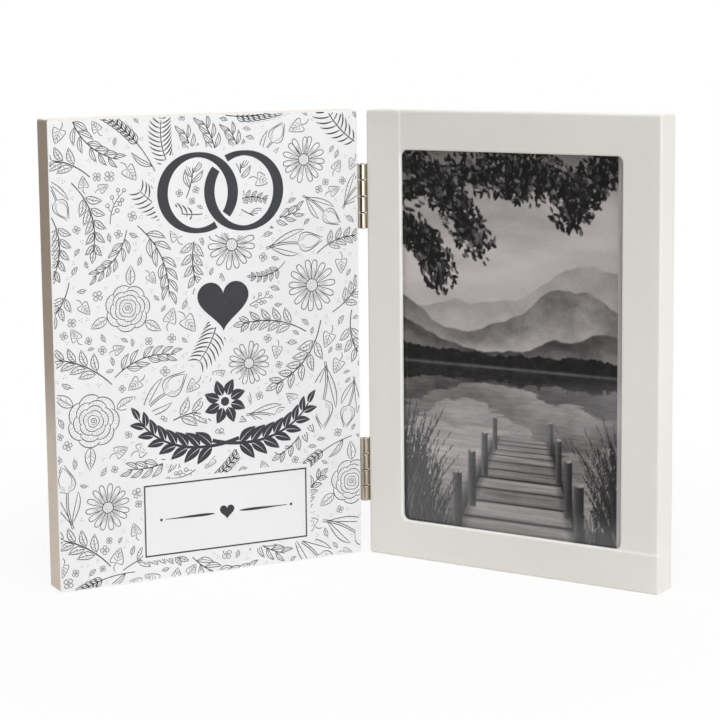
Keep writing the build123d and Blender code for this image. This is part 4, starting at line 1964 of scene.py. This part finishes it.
@dataclass
class Studio:
    """Floor, surroundings, lamps and camera."""

    hinge: Vector
    aim: Place = (0.0, -0.03, 0.0875)
    eye_mm: Place = (43.7, -826.1, 212.2)
    yaw: float = 3.116
    pitch: float = 7.733
    roll: float = -0.587
    lens: float = 106.84
    sensor: float = 36.0
    shift_y: float = -0.08
    floor_size: float = 8.0
    floor_white: Colour = colour(247, 246, 244)
    shadow_reach: Span = (0.12, 0.32)
    shadow_cover: float = 0.90
    table_grey: Colour = colour(70, 68, 66)
    table_way: Place = (-0.949, -0.316, 0.0)
    table_edge: Span = (0.25, 0.37)
    table_dim: float = 0.90
    # A painted shade on the floor in front of the hinge, seen only in reflections, darkens the hinge barrels.
    reflected_shade_spot: Place = (-0.035, -0.173, 0.0)
    reflected_shade_reach: Span = (0.09, 0.13)
    reflected_shade_dim: float = 0.80
    room_front: Colour = (0.06, 0.06, 0.06, 1.0)
    room_back: Colour = (0.22, 0.22, 0.22, 1.0)
    room_turn: Span = (0.0, 0.40)
    mirrored_room: Colour = (0.035, 0.03, 0.03, 1.0)
    backdrop_edge: Span = (0.72, 0.92)
    lamps: tuple[Lamp, ...] = (
        Lamp("key_box", 32.0, 6.0, 1.0, (0.95, 0.42), 2.5),
        Lamp("high_box", 20.0, 50.0, 1.5, (0.8, 0.8), 7.2),
        Lamp("side_box", 80.0, 18.0, 1.6, (1.2, 1.4), 5.6),
        Lamp("left_fill", -42.0, 28.0, 1.8, (1.2, 1.2), 3.5),
        Lamp("overhead_box", 0.0, 80.0, 1.5, (1.2, 1.2), 8.7),
        Lamp("back_box", 180.0, 35.0, 1.8, (1.6, 1.2), 6.0),
    )

    def floor(self) -> None:
        """Lays the pale floor, which keeps a soft shadow; reflections also see a painted shade spot in front
        of the hinge.
        """
        bpy.ops.object.select_all(action="DESELECT")
        bpy.ops.mesh.primitive_plane_add(size=self.floor_size)
        floor = bpy.context.object
        floor.name = "studio_floor"
        coat = Coat("studio_floor_white")
        where = coat.add("ShaderNodeTexCoord").outputs["Object"]
        away = coat.vector("LENGTH", where)
        beyond = coat.spread(coat.vector("DOT_PRODUCT", where, self.table_way), self.table_edge)
        coat.set(Base_Color=coat.blend(beyond, self.floor_white, self.table_grey), Roughness=0.8,
                 Specular_IOR_Level=0.1)
        rays = coat.add("ShaderNodeLightPath").outputs
        sharp = coat.math("MAXIMUM", rays["Is Glossy Ray"], rays["Is Transmission Ray"])
        seen = coat.math("MAXIMUM", rays["Is Camera Ray"], sharp)
        share = coat.math("MULTIPLY", seen, coat.spread(away, self.shadow_reach, (self.shadow_cover, 1.0)))
        # Painted shade: glossy rays see the floor darkened round a spot in front of the hinge.
        apart = coat.vector("DISTANCE", where, self.reflected_shade_spot)
        reflected_shade = coat.spread(apart, self.reflected_shade_reach, (self.reflected_shade_dim, 0.0))
        dark = coat.math("MAXIMUM", reflected_shade, coat.math("MULTIPLY", beyond, self.table_dim))
        lit = coat.math("SUBTRACT", 1.0, coat.math("MULTIPLY", rays["Is Glossy Ray"], dark))
        coat.veil(share, coat.add("ShaderNodeEmission", {"Color": WHITE, "Strength": lit}))
        dress(floor, coat.material)

    def surroundings(self) -> None:
        """Sets a white backdrop, a dark room in front and a dim light from all round."""
        world = bpy.data.worlds.new("studio")
        bpy.context.scene.world = world
        world.use_nodes = True
        world.node_tree.nodes.clear()
        bench = Bench(world.node_tree)
        way = bench.add("ShaderNodeTexCoord").outputs["Generated"]
        parts = bench.add("ShaderNodeSeparateXYZ", {0: way}).outputs
        rays = bench.add("ShaderNodeLightPath").outputs
        soft = bench.blend(bench.spread(parts[1], self.room_turn), self.room_front, self.room_back)
        mirrored = bench.blend(bench.spread(parts[1], self.backdrop_edge), self.mirrored_room, WHITE)
        sharp = bench.math("MAXIMUM", rays["Is Glossy Ray"], rays["Is Transmission Ray"])
        shade = bench.blend(rays["Is Camera Ray"], bench.blend(sharp, soft, mirrored), WHITE)
        background = bench.add("ShaderNodeBackground", {"Color": shade, "Strength": 1.0})
        bench.add("ShaderNodeOutputWorld", {"Surface": background.outputs[0]})

    def camera(self) -> None:
        """Sets the camera at the photograph's viewing angle."""
        data = bpy.data.cameras.new("photo_camera")
        data.sensor_width = self.sensor
        data.lens = self.lens
        data.shift_y = self.shift_y
        camera = linked("photo_camera", data)
        yaw, pitch, roll = (math.radians(value) for value in (self.yaw, self.pitch, self.roll))
        right = Vector((math.cos(yaw), math.sin(yaw), 0.0))
        level = Vector((-math.sin(yaw), math.cos(yaw), 0.0))
        rise = Vector((0.0, 0.0, 1.0))
        ahead = level * math.cos(pitch) - rise * math.sin(pitch)
        rise = rise * math.cos(pitch) + level * math.sin(pitch)
        across = right * math.cos(roll) + rise * math.sin(roll)
        upward = rise * math.cos(roll) - right * math.sin(roll)
        camera.matrix_world = placed(across, upward, -ahead, self.hinge + Vector(self.eye_mm) * MM)
        bpy.context.scene.camera = camera

    def build(self) -> None:
        """Builds the whole studio."""
        self.floor()
        self.surroundings()
        for lamp in self.lamps:
            lamp.hang(self.hinge + Vector(self.aim))
        self.camera()
        bpy.context.scene.view_settings.view_transform = "Standard"


def main() -> None:
    """Dresses the part, builds its new pieces and sets up the studio."""
    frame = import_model()
    joints = {joint["name"]: joint for joint in frame["record"]["behaviour"]["joints"]}
    hinge = Vector(joints["panel_hinge"]["pos_m"])
    swing = math.asin(joints["turn_button_outer_side_upper_turn"]["axis"][0])
    effects = Effects()
    left, right = (PanelPlane(side, hinge, swing) for side in (Side.LEFT, Side.RIGHT))
    pieces = PrintedBoard(frame, effects, left).build() + GlazedFrame(frame, effects, right).build()
    for piece in pieces:
        piece.data.calc_loop_triangles()
        LOG.info("piece %s: %d triangles", piece.name, len(piece.data.loop_triangles))
    Hardware(frame, effects).build()
    Studio(hinge).build()


if __name__ == "__main__":
    main()
